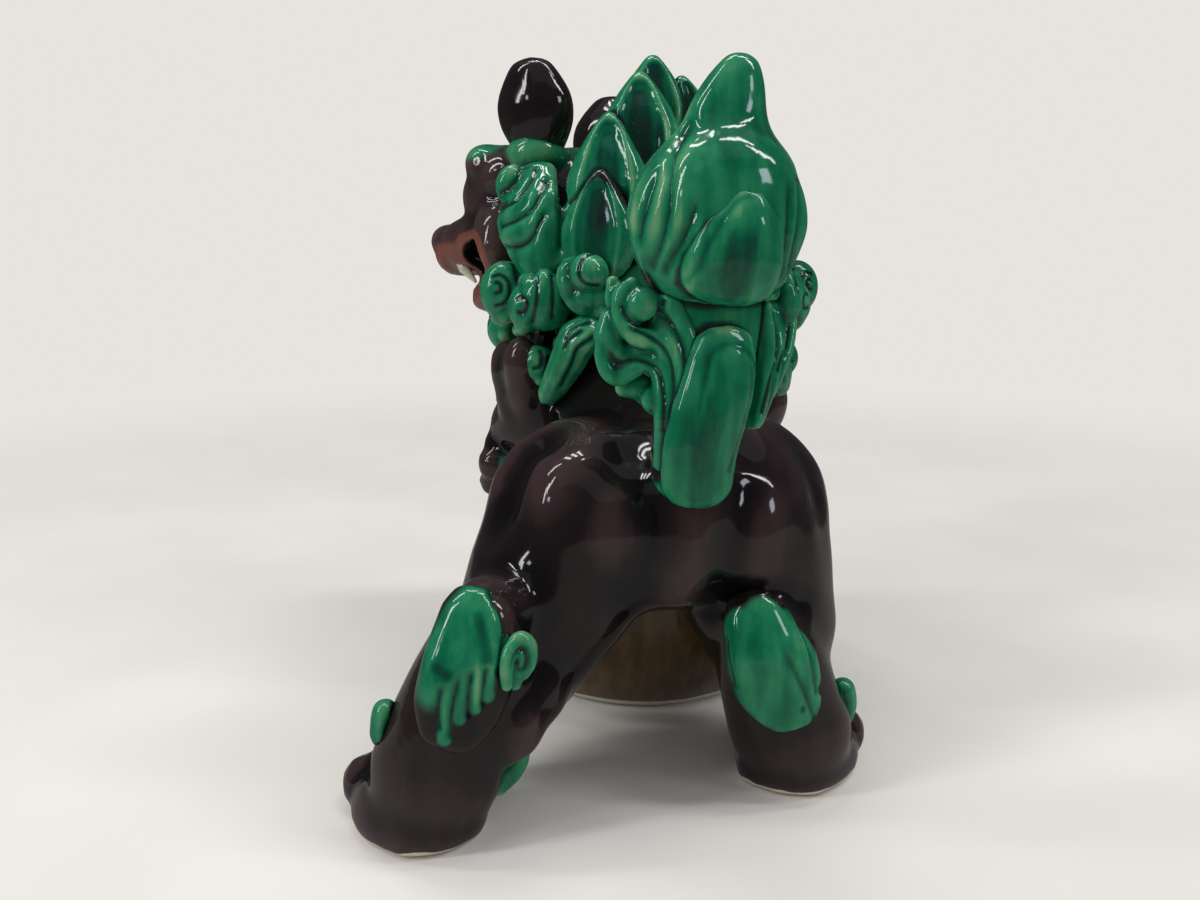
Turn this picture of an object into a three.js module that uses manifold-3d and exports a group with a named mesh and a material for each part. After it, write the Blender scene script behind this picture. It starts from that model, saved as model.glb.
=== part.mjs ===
// A guardian lion in glazed porcelain, rearing over a large ball with its head turned to its left.
// Millimetres, +Z up. The lion faces -Y and its left side is +X.
// The figure is put together from cast and pressed pieces, each trimmed to sit on those before it.

import * as THREE from "three";
import { mergeVertices } from "three/addons/utils/BufferGeometryUtils.js";
import Module from "manifold-3d";

const wasm = await Module();
wasm.setup();

// Seams between pieces, and walls of the hollow castings.
const SEAM = 0.3;
const BODY_WALL = 5;
const HEAD_WALL = 6;
const MANE_WALL = 6;
const LEG_WALL = 5;
const BALL_WALL = 5;

// Ball under the forepaws, with a flat unglazed foot and a vent.
const BALL_RADIUS = 86;
const BALL_FOOT_RADIUS = 62;
const BALL_FOOT_HOLLOW = 3;
const BALL_FOOT_RIM = 7;
const BALL_VENT_RADIUS = 7;
const BALL_X = -11;
const BALL_Y = -56;

// Torso, from the rump up to the neck: places on the spine, half widths and half depths.
const RUMP_AT = at(6, 76, 113);
const RUMP_WIDE = 44;
const RUMP_DEEP = 32;
const HIPS_AT = at(7, 45, 112);
const HIPS_WIDE = 54;
const HIPS_DEEP = 40;
const LOIN_AT = at(2, 10, 126);
const LOIN_WIDE = 46;
const LOIN_DEEP = 37;
const CHEST_AT = at(-8, -22, 160);
const CHEST_WIDE = 46;
const CHEST_DEEP = 32;
const NECK_AT = at(2, -45, 194);
const NECK_WIDE = 40;
const NECK_DEEP = 32;
const NECK_VENT_RADIUS = 12;

// Hind legs: places of the knee, hock, shin and ankle on each side, and their radii.
const LEFT_KNEE_AT = at(74, 56, 52);
const LEFT_HOCK_AT = at(82, 86, 90);
const LEFT_SHIN_AT = at(92, 84, 58);
const LEFT_ANKLE_AT = at(106, 82, 24);
const RIGHT_KNEE_AT = at(-42, 54, 54);
const RIGHT_HOCK_AT = at(-27, 78, 78);
const RIGHT_SHIN_AT = at(-33, 76, 52);
const RIGHT_ANKLE_AT = at(-43, 74, 22);
const HAUNCH_RADIUS = 41;
const HAUNCH_OUT = 20;
const THIGH_RADIUS = 40;
const KNEE_RADIUS = 29;
const HOCK_RADIUS = 16;
const SHIN_RADIUS = 23;
const ANKLE_RADIUS = 25;

// Hind feet: where the heels stand, how far the feet turn out, and their sizes.
const LEFT_HEEL_AT = at(108, 84, 0);
const LEFT_FOOT_TURN = 16;
const RIGHT_HEEL_AT = at(-43, 75, 0);
const RIGHT_FOOT_TURN = -38;
const FOOT_LENGTH = 26;
const FOOT_HALF_WIDTH = 26;
const FOOT_HEIGHT = 30;
const TOE_RADIUS = 10.5;
const TOE_COUNT = 4;

// Forelegs, and the forepaws that grip the ball: bearings and heights on it, in degrees.
const SHOULDER_OUT = 44;
const SHOULDER_DROP = 14;
const SHOULDER_RADIUS = 24;
const WRIST_RADIUS = 18;
const PAW_LENGTH = 24;
const PAW_HALF_WIDTH = 17;
const PAW_HEIGHT = 12;
const FORE_TOE_RADIUS = 8;
const LEFT_PAW_BEARING = 4;
const RIGHT_PAW_BEARING = 200;
const PAW_RISE = 41;

// Head: its place over the neck, how far it turns and tips, and its main sizes.
const HEAD_FORWARD = 27;
const HEAD_LEFT = 18;
const HEAD_RISE = 33;
const HEAD_TURN = 49;
const HEAD_TIP = 6;
const SKULL_WIDE = 40;
const SKULL_LONG = 43;
const SKULL_TALL = 38;
const MUZZLE_LENGTH = 36;
const MUZZLE_WIDE = 30;
const MUZZLE_DEEP = 16;
const CHEEK_RADIUS = 15;
const SOCKET_RADIUS = 13;
const EYE_RADIUS = 8;
const BROW_LENGTH = 14;
const BROW_DEEP = 10;
const NOSE_WIDE = 15;
const NOSE_DEEP = 9;
const NOSTRIL_RADIUS = 6;
const JAW_LENGTH = 44;
const JAW_WIDE = 27;
const JAW_DEEP = 10;
const JAW_DROP = 12;
const TONGUE_LENGTH = 30;
const TONGUE_WIDE = 13;
const TONGUE_DEEP = 4;
const FANG_LENGTH = 16;
const FANG_RADIUS = 4;
const LOWER_FANG_LENGTH = 10;
const EAR_HEIGHT = 45;
const EAR_WIDE = 19;
const EAR_DEEP = 13;
const EAR_OUT = 31;

// Mane: a rounded mass behind the head, measured from the neck, that carries the locks.
const MANE_BACK = 7;
const MANE_RIGHT = 14;
const MANE_RISE = 9;
const MANE_WIDE = 68;
const MANE_DEEP = 48;
const MANE_TALL = 61;

// Flames of the crest: bearings and heights on the mane, which way they face and lean, and sizes.
const FLAMES = [
  { name: "crest_flame_nape", bearing: 32, rise: 2, facing: 24, lean: -4, length: 40, wide: 18 },
  { name: "crest_flame_low", bearing: 30, rise: 20, facing: 18, lean: -12, length: 46, wide: 19 },
  { name: "crest_flame_middle", bearing: 19, rise: 44, facing: 12, lean: -12, length: 42, wide: 19 },
  { name: "crest_flame_top", bearing: 13, rise: 68, facing: 5, lean: -8, length: 37, wide: 17 },
  { name: "crest_flame_right", bearing: -22, rise: 70, facing: -8, lean: -6, length: 28, wide: 16 },
  { name: "right_flame_low", bearing: -34, rise: 30, facing: -30, lean: -12, length: 46, wide: 19 },
  { name: "right_flame_nape", bearing: -22, rise: 4, facing: -20, lean: -4, length: 42, wide: 18 },
];

// Locks laid on the mane from one place to another, each place a bearing, a rise and a lift off it.
const MANE_LOCKS = [
  { name: "cheek_lock", from: [90, 46, 3], to: [64, 0, 3], wide: 18, deep: 9, bow: 2 },
  { name: "neck_lock", from: [56, 0, 3], to: [66, -28, 4], wide: 11, deep: 8, bow: 0 },
  { name: "shoulder_lock", from: [36, -20, 8], to: [60, -48, 20], wide: 10, deep: 7, bow: -6 },
];

// Curls on the mane: where they sit, which way their arms run out, their radii and turns.
const MANE_CURLS = [
  { name: "cheek_curl", bearing: 88, rise: -4, lift: 4, heading: -150, radius: 13, turns: 0.8 },
  { name: "beard_curl", bearing: 106, rise: -22, lift: 4, heading: -160, radius: 11, turns: 0.8 },
  { name: "nape_knob", bearing: 34, rise: -2, lift: 4, heading: -60, radius: 11, turns: -0.75 },
  { name: "shoulder_curl", bearing: 62, rise: -32, lift: 12, heading: 170, radius: 9, turns: 0.8 },
];

// Tail: where it leaves the rump, and the sizes of its stem, tongue, strands and plume.
const TAIL_BACK = 13;
const TAIL_RISE = 14;
const STEM_HEIGHT = 78;
const STEM_WIDE = 19;
const STEM_DEEP = 12;
const TONGUE_LOBE_WIDE = 14;
const TONGUE_LOBE_DEEP = 7;
const STRAND_RADIUS = 4.2;
const STRAND_KNOB_RADIUS = 7;
const PLUME_HEIGHT = 80;
const PLUME_WIDE = 33;
const PLUME_DEEP = 23;
const FRONT_LOBE_WIDE = 17;
const FRONT_LOBE_DEEP = 11;
const FRONT_LOBE_HEIGHT = 38;

// Lines of the tail's strands, and their knobs: left of and behind the tail's foot, and the share of
// the stem's height.
const LEFT_KNOB = [21, -1, 1];
const LEFT_LOW_KNOB = [32, -6, 0.79];
const RIGHT_KNOB = [-39, -5, 1];
const LEFT_STRAND = [
  [12, 3, 0.2], [12, 4, 0.5], [14, 4, 0.74], [20, 2, 0.84], [28, 0, 0.9], [30, -2, 1.02], [27, -2, 1.08],
];
const LEFT_LOW_STRAND = [
  [14, 1, 0.16], [15, 1, 0.45], [20, -1, 0.6], [29, -4, 0.61], [34, -6, 0.66], [37, -7, 0.74],
];
const RIGHT_STRAND = [
  [-18, 2, 0.2], [-22, 1, 0.5], [-29, -2, 0.76], [-37, -5, 0.9], [-39, -5, 1],
];

// Tufts at the hocks and small locks at the ankles.
const TUFT_HALF_WIDTH = 17;
const TUFT_DEEP = 9;
const TUFT_SHIFT = 5;
const HOCK_CURL_RADIUS = 9;
const ANKLE_LOCK_RADIUS = 6;

// Glazes.
const AUBERGINE = glaze(0x241419, 0.12);
const GREEN = glaze(0x14603f, 0.14);
const AMBER = glaze(0x5a3c18, 0.15);
const IVORY = glaze(0xd9cfb4, 0.25);
const RED = glaze(0x7c3a28, 0.2);

const UP = at(0, 0, 1);
const LEFT = at(1, 0, 0);
const BACK = at(0, 1, 0);

function at(x, y, z) {
  return new THREE.Vector3(x, y, z);
}

function radians(degrees) {
  return THREE.MathUtils.degToRad(degrees);
}

function glaze(color, roughness) {
  return new THREE.MeshStandardMaterial({ color, roughness, metalness: 0 });
}

function station(place, wide, deep = wide) {
  return { place, wide, deep };
}

// A point between two places, or the move from one place by a distance along a direction.
function between(from, to, share) {
  return from.clone().lerp(to, share);
}

function moved(from, direction, distance) {
  return from.clone().addScaledVector(direction, distance);
}

// A closed geometry as a solid that can be joined and cut.
function toSolid(geometry) {
  const plain = geometry.clone();
  plain.deleteAttribute("normal");
  plain.deleteAttribute("uv");
  const merged = mergeVertices(plain);
  const corners = merged.index.array;
  const faces = [];
  for (let i = 0; i < corners.length; i += 3) {
    const [a, b, c] = [corners[i], corners[i + 1], corners[i + 2]];
    if (a !== b && b !== c && c !== a) {
      faces.push(a, b, c);
    }
  }
  const vertProperties = new Float32Array(merged.attributes.position.array);
  const triVerts = new Uint32Array(faces);
  return new wasm.Manifold(new wasm.Mesh({ numProp: 3, vertProperties, triVerts }));
}

function toGeometry(solid) {
  const mesh = solid.getMesh();
  const geometry = new THREE.BufferGeometry();
  geometry.setAttribute("position", new THREE.BufferAttribute(mesh.vertProperties, 3));
  geometry.setIndex(new THREE.BufferAttribute(mesh.triVerts, 1));
  geometry.computeVertexNormals();
  return geometry;
}

// Forms. Each is a function of a growth, so that the same form, grown by a seam or shrunk by a
// wall, trims its neighbours or hollows itself out.

// A sphere's rings drawn out along a smooth line through the stations, with a dome at each end.
function drawn(stations, across, { sides = 10, steps = 6, caps = 2, domes = [0.7, 0.7] } = {}) {
  const line = new THREE.CatmullRomCurve3(stations.map((each) => each.place), false, "catmullrom");
  const sizes = stations.map((each) => at(each.wide, each.deep, 0));
  const spread = new THREE.CatmullRomCurve3(sizes, false, "catmullrom");
  const ringCount = steps + 2 * caps;
  return (grow) => {
    const geometry = new THREE.SphereGeometry(1, sides, ringCount);
    const position = geometry.attributes.position;
    for (let ring = 0; ring <= ringCount; ring += 1) {
      const before = Math.max(0, caps - ring) / caps;
      const after = Math.max(0, ring - caps - steps) / caps;
      const share = THREE.MathUtils.clamp((ring - caps) / steps, 0, 1);
      const size = spread.getPoint(share);
      const [wide, deep] = [size.x + grow, size.y + grow];
      const along = line.getTangent(share);
      const side = across.clone().addScaledVector(along, -across.dot(along)).normalize();
      const other = along.clone().cross(side);
      const dome = Math.min(wide, deep);
      const turn = (before + after) * Math.PI / 2;
      const round = Math.cos(turn);
      const push = Math.sin(turn) * dome * (after > 0 ? domes[1] : -domes[0]);
      const middle = moved(line.getPoint(share), along, push);
      for (let k = 0; k <= sides; k += 1) {
        const angle = (k % sides) / sides * 2 * Math.PI;
        const atPole = before === 1 || after === 1;
        const reach = atPole ? 0 : round;
        const point = moved(middle, side, -Math.cos(angle) * wide * reach);
        point.addScaledVector(other, Math.sin(angle) * deep * reach);
        position.setXYZ(ring * (sides + 1) + k, point.x, point.y, point.z);
      }
    }
    return toSolid(geometry);
  };
}

// An egg with its own radii along three axes, turned by a quaternion.
function egg(place, radii, turn = new THREE.Quaternion(), sides = 12, rings = 8) {
  return (grow) => {
    const geometry = new THREE.SphereGeometry(1, sides, rings);
    geometry.rotateX(Math.PI / 2);
    geometry.scale(radii.x + grow, radii.y + grow, radii.z + grow);
    geometry.applyQuaternion(turn);
    geometry.translate(place.x, place.y, place.z);
    return toSolid(geometry);
  };
}

function joined(...forms) {
  return (grow) => forms.slice(1).reduce((whole, form) => whole.add(form(grow)), forms[0](grow));
}

// The part of a form that stands above the ground.
function aboveGround(form) {
  return (grow) => {
    const whole = form(grow);
    const { min, max } = whole.boundingBox();
    if (min[2] >= 0) {
      return whole;
    }
    const earth = new THREE.BoxGeometry(max[0] - min[0] + 2, max[1] - min[1] + 2, 1 - min[2]);
    earth.translate((max[0] + min[0]) / 2, (max[1] + min[1]) / 2, (min[2] - 1) / 2);
    return whole.subtract(toSolid(earth));
  };
}

// A curl: a round knob with an arm that winds about it and runs out along a heading.
function curl(place, out, heading, radius, turns = 0.8) {
  const ahead = heading.clone().addScaledVector(out, -heading.dot(out)).normalize();
  const aside = out.clone().cross(ahead);
  const stations = [];
  const count = 7;
  for (let i = 0; i < count; i += 1) {
    const share = i / (count - 1);
    const angle = share * turns * 2 * Math.PI;
    const reach = radius * (1 - 0.25 * share);
    const point = moved(place, ahead, Math.sin(angle) * reach);
    point.addScaledVector(aside, Math.cos(angle) * reach);
    stations.push(station(point, radius * (0.5 - 0.1 * share), radius * (0.34 - 0.12 * share)));
  }
  const turn = new THREE.Quaternion().setFromUnitVectors(UP, out);
  const knob = egg(place, at(radius * 0.82, radius * 0.82, radius * 0.72), turn, 8, 6);
  return joined(knob, drawn(stations, out, { sides: 6, steps: 7, caps: 1 }));
}

// Pieces, in the order in which they are luted on.
const figure = new THREE.Group();
const laid = [];

// Adds a piece: its form, trimmed by every form laid before it and opened by its hollows and vents.
function lute(name, form, material, openings = []) {
  const whole = form(0);
  let solid = whole;
  for (const other of laid) {
    const reach = other.grown.boundingBox();
    const own = whole.boundingBox();
    const apart = [0, 1, 2].some((k) => own.min[k] > reach.max[k] || own.max[k] < reach.min[k]);
    if (!apart) {
      solid = solid.subtract(other.grown);
    }
  }
  for (const opening of openings) {
    solid = solid.subtract(opening(0));
  }
  if (solid.isEmpty()) {
    throw new Error(`${name} is buried in the pieces before it`);
  }
  const bodies = solid.decompose().sort((a, b) => b.volume() - a.volume());
  const mesh = new THREE.Mesh(toGeometry(bodies[0]), material);
  mesh.name = name;
  figure.add(mesh);
  laid.push({ name, grown: form(SEAM) });
}

// Ball.
const ballHeight = Math.sqrt(BALL_RADIUS ** 2 - BALL_FOOT_RADIUS ** 2);
const ballAt = at(BALL_X, BALL_Y, ballHeight);

function ballForm(grow) {
  const radius = BALL_RADIUS + grow;
  const low = -Math.asin(ballHeight / BALL_RADIUS);
  const points = [new THREE.Vector2(0, Math.sin(low) * radius)];
  const steps = 11;
  for (let i = 0; i <= steps; i += 1) {
    const angle = THREE.MathUtils.lerp(low, Math.PI / 2, i / steps);
    points.push(new THREE.Vector2(i < steps ? Math.cos(angle) * radius : 0, Math.sin(angle) * radius));
  }
  const geometry = new THREE.LatheGeometry(points, 28);
  geometry.rotateX(Math.PI / 2);
  geometry.translate(ballAt.x, ballAt.y, ballAt.z);
  return toSolid(geometry);
}

function ballFootHollow() {
  const radius = BALL_FOOT_RADIUS - BALL_FOOT_RIM;
  const geometry = new THREE.CylinderGeometry(radius, radius, 2 * BALL_FOOT_HOLLOW, 24);
  geometry.rotateX(Math.PI / 2);
  geometry.translate(ballAt.x, ballAt.y, 0);
  return toSolid(geometry);
}

function ballCavity() {
  const floor = BALL_FOOT_HOLLOW + BALL_WALL;
  const radius = BALL_RADIUS - BALL_WALL;
  const low = -Math.asin((ballHeight - floor) / radius);
  const points = [new THREE.Vector2(0, Math.sin(low) * radius)];
  const steps = 6;
  for (let i = 0; i <= steps; i += 1) {
    const angle = THREE.MathUtils.lerp(low, Math.PI / 2, i / steps);
    points.push(new THREE.Vector2(i < steps ? Math.cos(angle) * radius : 0, Math.sin(angle) * radius));
  }
  const geometry = new THREE.LatheGeometry(points, 16);
  geometry.rotateX(Math.PI / 2);
  geometry.translate(ballAt.x, ballAt.y, ballAt.z);
  return toSolid(geometry);
}

function ballVent() {
  const tall = 4 * (BALL_FOOT_HOLLOW + BALL_WALL);
  const geometry = new THREE.CylinderGeometry(BALL_VENT_RADIUS, BALL_VENT_RADIUS, tall, 12);
  geometry.rotateX(Math.PI / 2);
  geometry.translate(ballAt.x, ballAt.y, 0);
  return toSolid(geometry);
}

// Torso.
const spine = [
  station(RUMP_AT, RUMP_WIDE, RUMP_DEEP),
  station(HIPS_AT, HIPS_WIDE, HIPS_DEEP),
  station(LOIN_AT, LOIN_WIDE, LOIN_DEEP),
  station(CHEST_AT, CHEST_WIDE, CHEST_DEEP),
  station(NECK_AT, NECK_WIDE, NECK_DEEP),
];
const torsoForm = drawn(spine, LEFT, { sides: 16, steps: 10, caps: 3, domes: [0.62, 0.6] });

function torsoHollow() {
  return drawn(spine, LEFT, { sides: 10, steps: 7, domes: [0.62, 0.6] })(-BODY_WALL);
}

function neckVent() {
  const geometry = new THREE.CylinderGeometry(NECK_VENT_RADIUS, NECK_VENT_RADIUS, 6 * NECK_DEEP, 16);
  geometry.rotateX(Math.PI / 2);
  geometry.translate(NECK_AT.x, NECK_AT.y, NECK_AT.z + 3 * NECK_DEEP);
  return toSolid(geometry);
}

// Hind feet: a low sole with a row of toes in front, turned out about the heel.
function footForm(heelAt, turnOut) {
  const ahead = BACK.clone().negate().applyAxisAngle(UP, radians(turnOut));
  const aside = UP.clone().cross(ahead);
  const sole = FOOT_HEIGHT / 2;
  const heel = moved(heelAt, UP, sole * 0.4);
  const ball = moved(moved(heelAt, UP, sole * 0.4), ahead, FOOT_LENGTH);
  const stations = [
    station(heel, FOOT_HALF_WIDTH * 0.92, sole * 1.6),
    station(between(heel, ball, 0.5), FOOT_HALF_WIDTH, sole * 1.4),
    station(ball, FOOT_HALF_WIDTH * 0.9, sole),
  ];
  const forms = [drawn(stations, aside, { sides: 12, steps: 4, domes: [0.85, 0.6] })];
  for (let toe = 0; toe < TOE_COUNT; toe += 1) {
    const share = toe / (TOE_COUNT - 1) - 0.5;
    const place = moved(ball, aside, share * 2 * (FOOT_HALF_WIDTH - TOE_RADIUS));
    place.addScaledVector(ahead, FOOT_LENGTH * (0.42 - Math.abs(share) * 0.5));
    place.z = heelAt.z + TOE_RADIUS * 0.9;
    forms.push(egg(place, at(TOE_RADIUS, TOE_RADIUS, TOE_RADIUS), undefined, 7, 5));
  }
  return aboveGround(joined(...forms));
}

// Hind legs: a rounded haunch and a thigh down to the knee, and a shank from the hock to the ankle.
function thighForm(side, kneeAt, sides = 12) {
  const hip = moved(HIPS_AT, LEFT, side * HIPS_WIDE * 0.56);
  const stations = [
    station(hip, THIGH_RADIUS * 0.95, THIGH_RADIUS),
    station(between(hip, kneeAt, 0.42), THIGH_RADIUS * 0.95, THIGH_RADIUS * 0.92),
    station(between(hip, kneeAt, 0.78), THIGH_RADIUS * 0.84, THIGH_RADIUS * 0.76),
    station(kneeAt, KNEE_RADIUS),
  ];
  const thigh = drawn(stations, BACK, { sides, steps: 5, domes: [0.5, 0.7] });
  const bulge = moved(HIPS_AT, LEFT, side * (HIPS_WIDE + HAUNCH_OUT - HAUNCH_RADIUS));
  const haunch = egg(bulge, at(HAUNCH_RADIUS, HAUNCH_RADIUS, HAUNCH_RADIUS), undefined, sides);
  return joined(thigh, haunch);
}

function hindLegForm(side, kneeAt, hockAt, shinAt, ankleAt) {
  const stations = [
    station(hockAt, HOCK_RADIUS),
    station(between(hockAt, shinAt, 0.5), (HOCK_RADIUS + SHIN_RADIUS) / 2),
    station(shinAt, SHIN_RADIUS),
    station(ankleAt, ANKLE_RADIUS),
  ];
  const shank = drawn(stations, LEFT, { steps: 5, domes: [0.8, 0.5] });
  return aboveGround(joined(thighForm(side, kneeAt), shank));
}

// Forepaws, laid on the ball: a rounded back with a row of toes.
function pawFrame(bearing) {
  const around = radians(bearing);
  const rise = radians(PAW_RISE);
  const out = at(Math.cos(around) * Math.cos(rise), Math.sin(around) * Math.cos(rise), Math.sin(rise));
  const down = UP.clone().multiplyScalar(-1).addScaledVector(out, out.z).normalize();
  return { out, down, aside: out.clone().cross(down), seat: moved(ballAt, out, BALL_RADIUS) };
}

function pawForm(bearing) {
  const { out, down, aside, seat } = pawFrame(bearing);
  const back = moved(moved(seat, out, PAW_HEIGHT * 0.45), down, -PAW_LENGTH * 0.35);
  const frame = new THREE.Matrix4().makeBasis(aside, down, out);
  const turn = new THREE.Quaternion().setFromRotationMatrix(frame);
  const forms = [egg(back, at(PAW_HALF_WIDTH, PAW_LENGTH * 0.7, PAW_HEIGHT), turn, 10, 7)];
  for (let toe = 0; toe < TOE_COUNT; toe += 1) {
    const share = toe / (TOE_COUNT - 1) - 0.5;
    const offset = share * 2 * (PAW_HALF_WIDTH - FORE_TOE_RADIUS * 0.4);
    const angle = PAW_LENGTH * (0.45 - Math.abs(share) * 0.3) / BALL_RADIUS;
    const reach = BALL_RADIUS + FORE_TOE_RADIUS * 0.4;
    const place = moved(moved(ballAt, out, Math.cos(angle) * reach), down, Math.sin(angle) * reach);
    place.addScaledVector(aside, offset);
    forms.push(egg(place, at(FORE_TOE_RADIUS, PAW_LENGTH * 0.56, FORE_TOE_RADIUS), turn, 8, 6));
  }
  return joined(...forms);
}

function forelegForm(side, bearing) {
  const { out, down, seat } = pawFrame(bearing);
  const shoulder = moved(moved(CHEST_AT, LEFT, side * SHOULDER_OUT), UP, -SHOULDER_DROP);
  const wrist = moved(moved(seat, out, WRIST_RADIUS * 0.6), down, -PAW_LENGTH * 0.45);
  const stations = [
    station(shoulder, SHOULDER_RADIUS),
    station(between(shoulder, wrist, 0.55), (SHOULDER_RADIUS + WRIST_RADIUS) / 2),
    station(wrist, WRIST_RADIUS * 0.9, WRIST_RADIUS * 0.8),
  ];
  return drawn(stations, BACK, { steps: 5, domes: [0.7, 0.6] });
}

// Head. Its pieces are placed in the head's own frame, which faces -Y before the turn.
const headAt = at(NECK_AT.x + HEAD_LEFT, NECK_AT.y - HEAD_FORWARD, NECK_AT.z + HEAD_RISE);
const headTurn = new THREE.Quaternion().setFromAxisAngle(UP, radians(HEAD_TURN));
headTurn.multiply(new THREE.Quaternion().setFromAxisAngle(BACK, radians(-HEAD_TIP)));
const headLeft = LEFT.clone().applyQuaternion(headTurn);

function inHead(left, ahead, up) {
  return at(left, -ahead, up).applyQuaternion(headTurn).add(headAt);
}

function headEgg(left, ahead, up, wide, long, tall, sides = 12, rings = 8) {
  return egg(inHead(left, ahead, up), at(wide, long, tall), headTurn, sides, rings);
}

const muzzleTip = SKULL_LONG + MUZZLE_LENGTH;
const muzzleUp = -SKULL_TALL * 0.2;

function headForm() {
  const muzzle = [
    station(inHead(0, SKULL_LONG * 0.5, muzzleUp), MUZZLE_WIDE * 1.15, MUZZLE_DEEP * 1.1),
    station(inHead(0, SKULL_LONG + MUZZLE_LENGTH * 0.3, muzzleUp), MUZZLE_WIDE, MUZZLE_DEEP),
    station(inHead(0, muzzleTip - MUZZLE_DEEP * 0.6, muzzleUp - 2), MUZZLE_WIDE * 0.8, MUZZLE_DEEP * 0.8),
  ];
  const forms = [
    headEgg(0, 0, 2, SKULL_WIDE, SKULL_LONG, SKULL_TALL, 14, 9),
    drawn(muzzle, headLeft, { steps: 5 }),
  ];
  for (const side of [1, -1]) {
    forms.push(headEgg(side * SKULL_WIDE * 0.52, SKULL_LONG * 0.78, SKULL_TALL * 0.42,
      SOCKET_RADIUS, SOCKET_RADIUS, SOCKET_RADIUS, 8, 6));
    forms.push(headEgg(side * SKULL_WIDE * 0.66, SKULL_LONG * 0.62, -SKULL_TALL * 0.3,
      CHEEK_RADIUS, CHEEK_RADIUS * 1.2, CHEEK_RADIUS, 8, 6));
  }
  return joined(...forms);
}

function skullHollow() {
  return headEgg(0, 0, 2, SKULL_WIDE, SKULL_LONG, SKULL_TALL, 8, 6)(-HEAD_WALL);
}

function earForm(side) {
  const root = inHead(side * EAR_OUT, 4, SKULL_TALL * 0.9);
  const tip = inHead(side * (EAR_OUT + 8), 5, SKULL_TALL * 0.9 + EAR_HEIGHT * 0.72);
  const stations = [
    station(root, EAR_WIDE * 0.62, EAR_DEEP * 0.75),
    station(between(root, tip, 0.35), EAR_WIDE * 0.98, EAR_DEEP),
    station(between(root, tip, 0.7), EAR_WIDE, EAR_DEEP),
    station(tip, EAR_WIDE * 0.72, EAR_DEEP * 0.7),
  ];
  const ahead = BACK.clone().negate().applyQuaternion(headTurn);
  return drawn(stations, ahead, { steps: 6, domes: [0.6, 0.9] });
}

function jawForm() {
  const up = -SKULL_TALL - JAW_DROP * 0.2;
  const stations = [
    station(inHead(0, 4, up + 4), JAW_WIDE, JAW_DEEP * 1.2),
    station(inHead(0, 4 + JAW_LENGTH * 0.5, up - JAW_DROP * 0.3), JAW_WIDE, JAW_DEEP),
    station(inHead(0, 4 + JAW_LENGTH, up - JAW_DROP * 0.6), JAW_WIDE * 0.8, JAW_DEEP * 0.8),
  ];
  return drawn(stations, headLeft, { steps: 5 });
}

function tongueForm() {
  const up = -SKULL_TALL - JAW_DROP * 0.2 + JAW_DEEP;
  const stations = [
    station(inHead(0, 14, up + 2), TONGUE_WIDE * 0.9, TONGUE_DEEP),
    station(inHead(0, 14 + TONGUE_LENGTH * 0.6, up - 1), TONGUE_WIDE, TONGUE_DEEP),
    station(inHead(0, 14 + TONGUE_LENGTH, up - 4), TONGUE_WIDE * 0.8, TONGUE_DEEP * 0.8),
  ];
  return drawn(stations, headLeft, { sides: 8, steps: 4 });
}

function fangForm(side, ahead, from, length) {
  const root = inHead(side, ahead, from);
  const tip = inHead(side, ahead - 1, from + length);
  const stations = [
    station(root, FANG_RADIUS),
    station(between(root, tip, 0.5), FANG_RADIUS * 0.8),
    station(tip, FANG_RADIUS * 0.35),
  ];
  return drawn(stations, headLeft, { sides: 6, steps: 3 });
}

// Mane and its locks.
const maneAt = at(NECK_AT.x - MANE_RIGHT, NECK_AT.y + MANE_BACK, NECK_AT.z + MANE_RISE);
const maneRadii = at(MANE_WIDE, MANE_DEEP, MANE_TALL);
const maneForm = egg(maneAt, maneRadii, undefined, 14, 9);
const maneHollow = () => egg(maneAt, maneRadii, undefined, 10, 6)(-MANE_WALL);

// A place on the mane: bearing 0 faces straight back and 90 faces the lion's left.
function onMane(bearing, rise, lift = 0) {
  const [around, height] = [radians(bearing), radians(rise)];
  const out = at(Math.sin(around) * Math.cos(height), Math.cos(around) * Math.cos(height), Math.sin(height));
  const place = at(out.x * MANE_WIDE, out.y * MANE_DEEP, out.z * MANE_TALL).add(maneAt);
  const face = at(out.x / MANE_WIDE, out.y / MANE_DEEP, out.z / MANE_TALL).normalize();
  return { place: moved(place, face, lift), out: face };
}

// A flame: a pointed leaf that stands on the mane and faces a bearing, leaning by an angle.
function flame({ bearing, rise, facing, lean, length, wide }) {
  const { place } = onMane(bearing, rise, 1);
  const face = at(Math.sin(radians(facing)), Math.cos(radians(facing)), 0);
  const along = UP.clone().applyAxisAngle(face.clone().cross(UP), radians(-lean));
  const root = moved(place, along, wide * 0.3);
  const stations = [
    station(root, wide * 0.75, wide * 0.4),
    station(moved(root, along, length * 0.35), wide, wide * 0.5),
    station(moved(root, along, length * 0.72), wide * 0.66, wide * 0.42),
    station(moved(root, along, length), wide * 0.2, wide * 0.2),
  ];
  return drawn(stations, face.clone().cross(UP), { sides: 8, steps: 5 });
}

// A lock: a thick strand laid along the mane from one place to another.
function lock(side, { from, to, wide, deep, bow }) {
  const start = onMane(side * from[0], from[1], from[2]);
  const end = onMane(side * to[0], to[1], to[2]);
  const out = start.out.clone().add(end.out).normalize();
  const along = end.place.clone().sub(start.place).normalize();
  const aside = out.clone().cross(along);
  const middle = moved(between(start.place, end.place, 0.5), aside, side * bow);
  middle.addScaledVector(out, deep * 0.5);
  const stations = [
    station(start.place, wide * 0.8, deep * 0.9),
    station(middle, wide, deep),
    station(end.place, wide * 0.5, deep * 0.6),
  ];
  return drawn(stations, aside, { sides: 8, steps: 5 });
}

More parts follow.
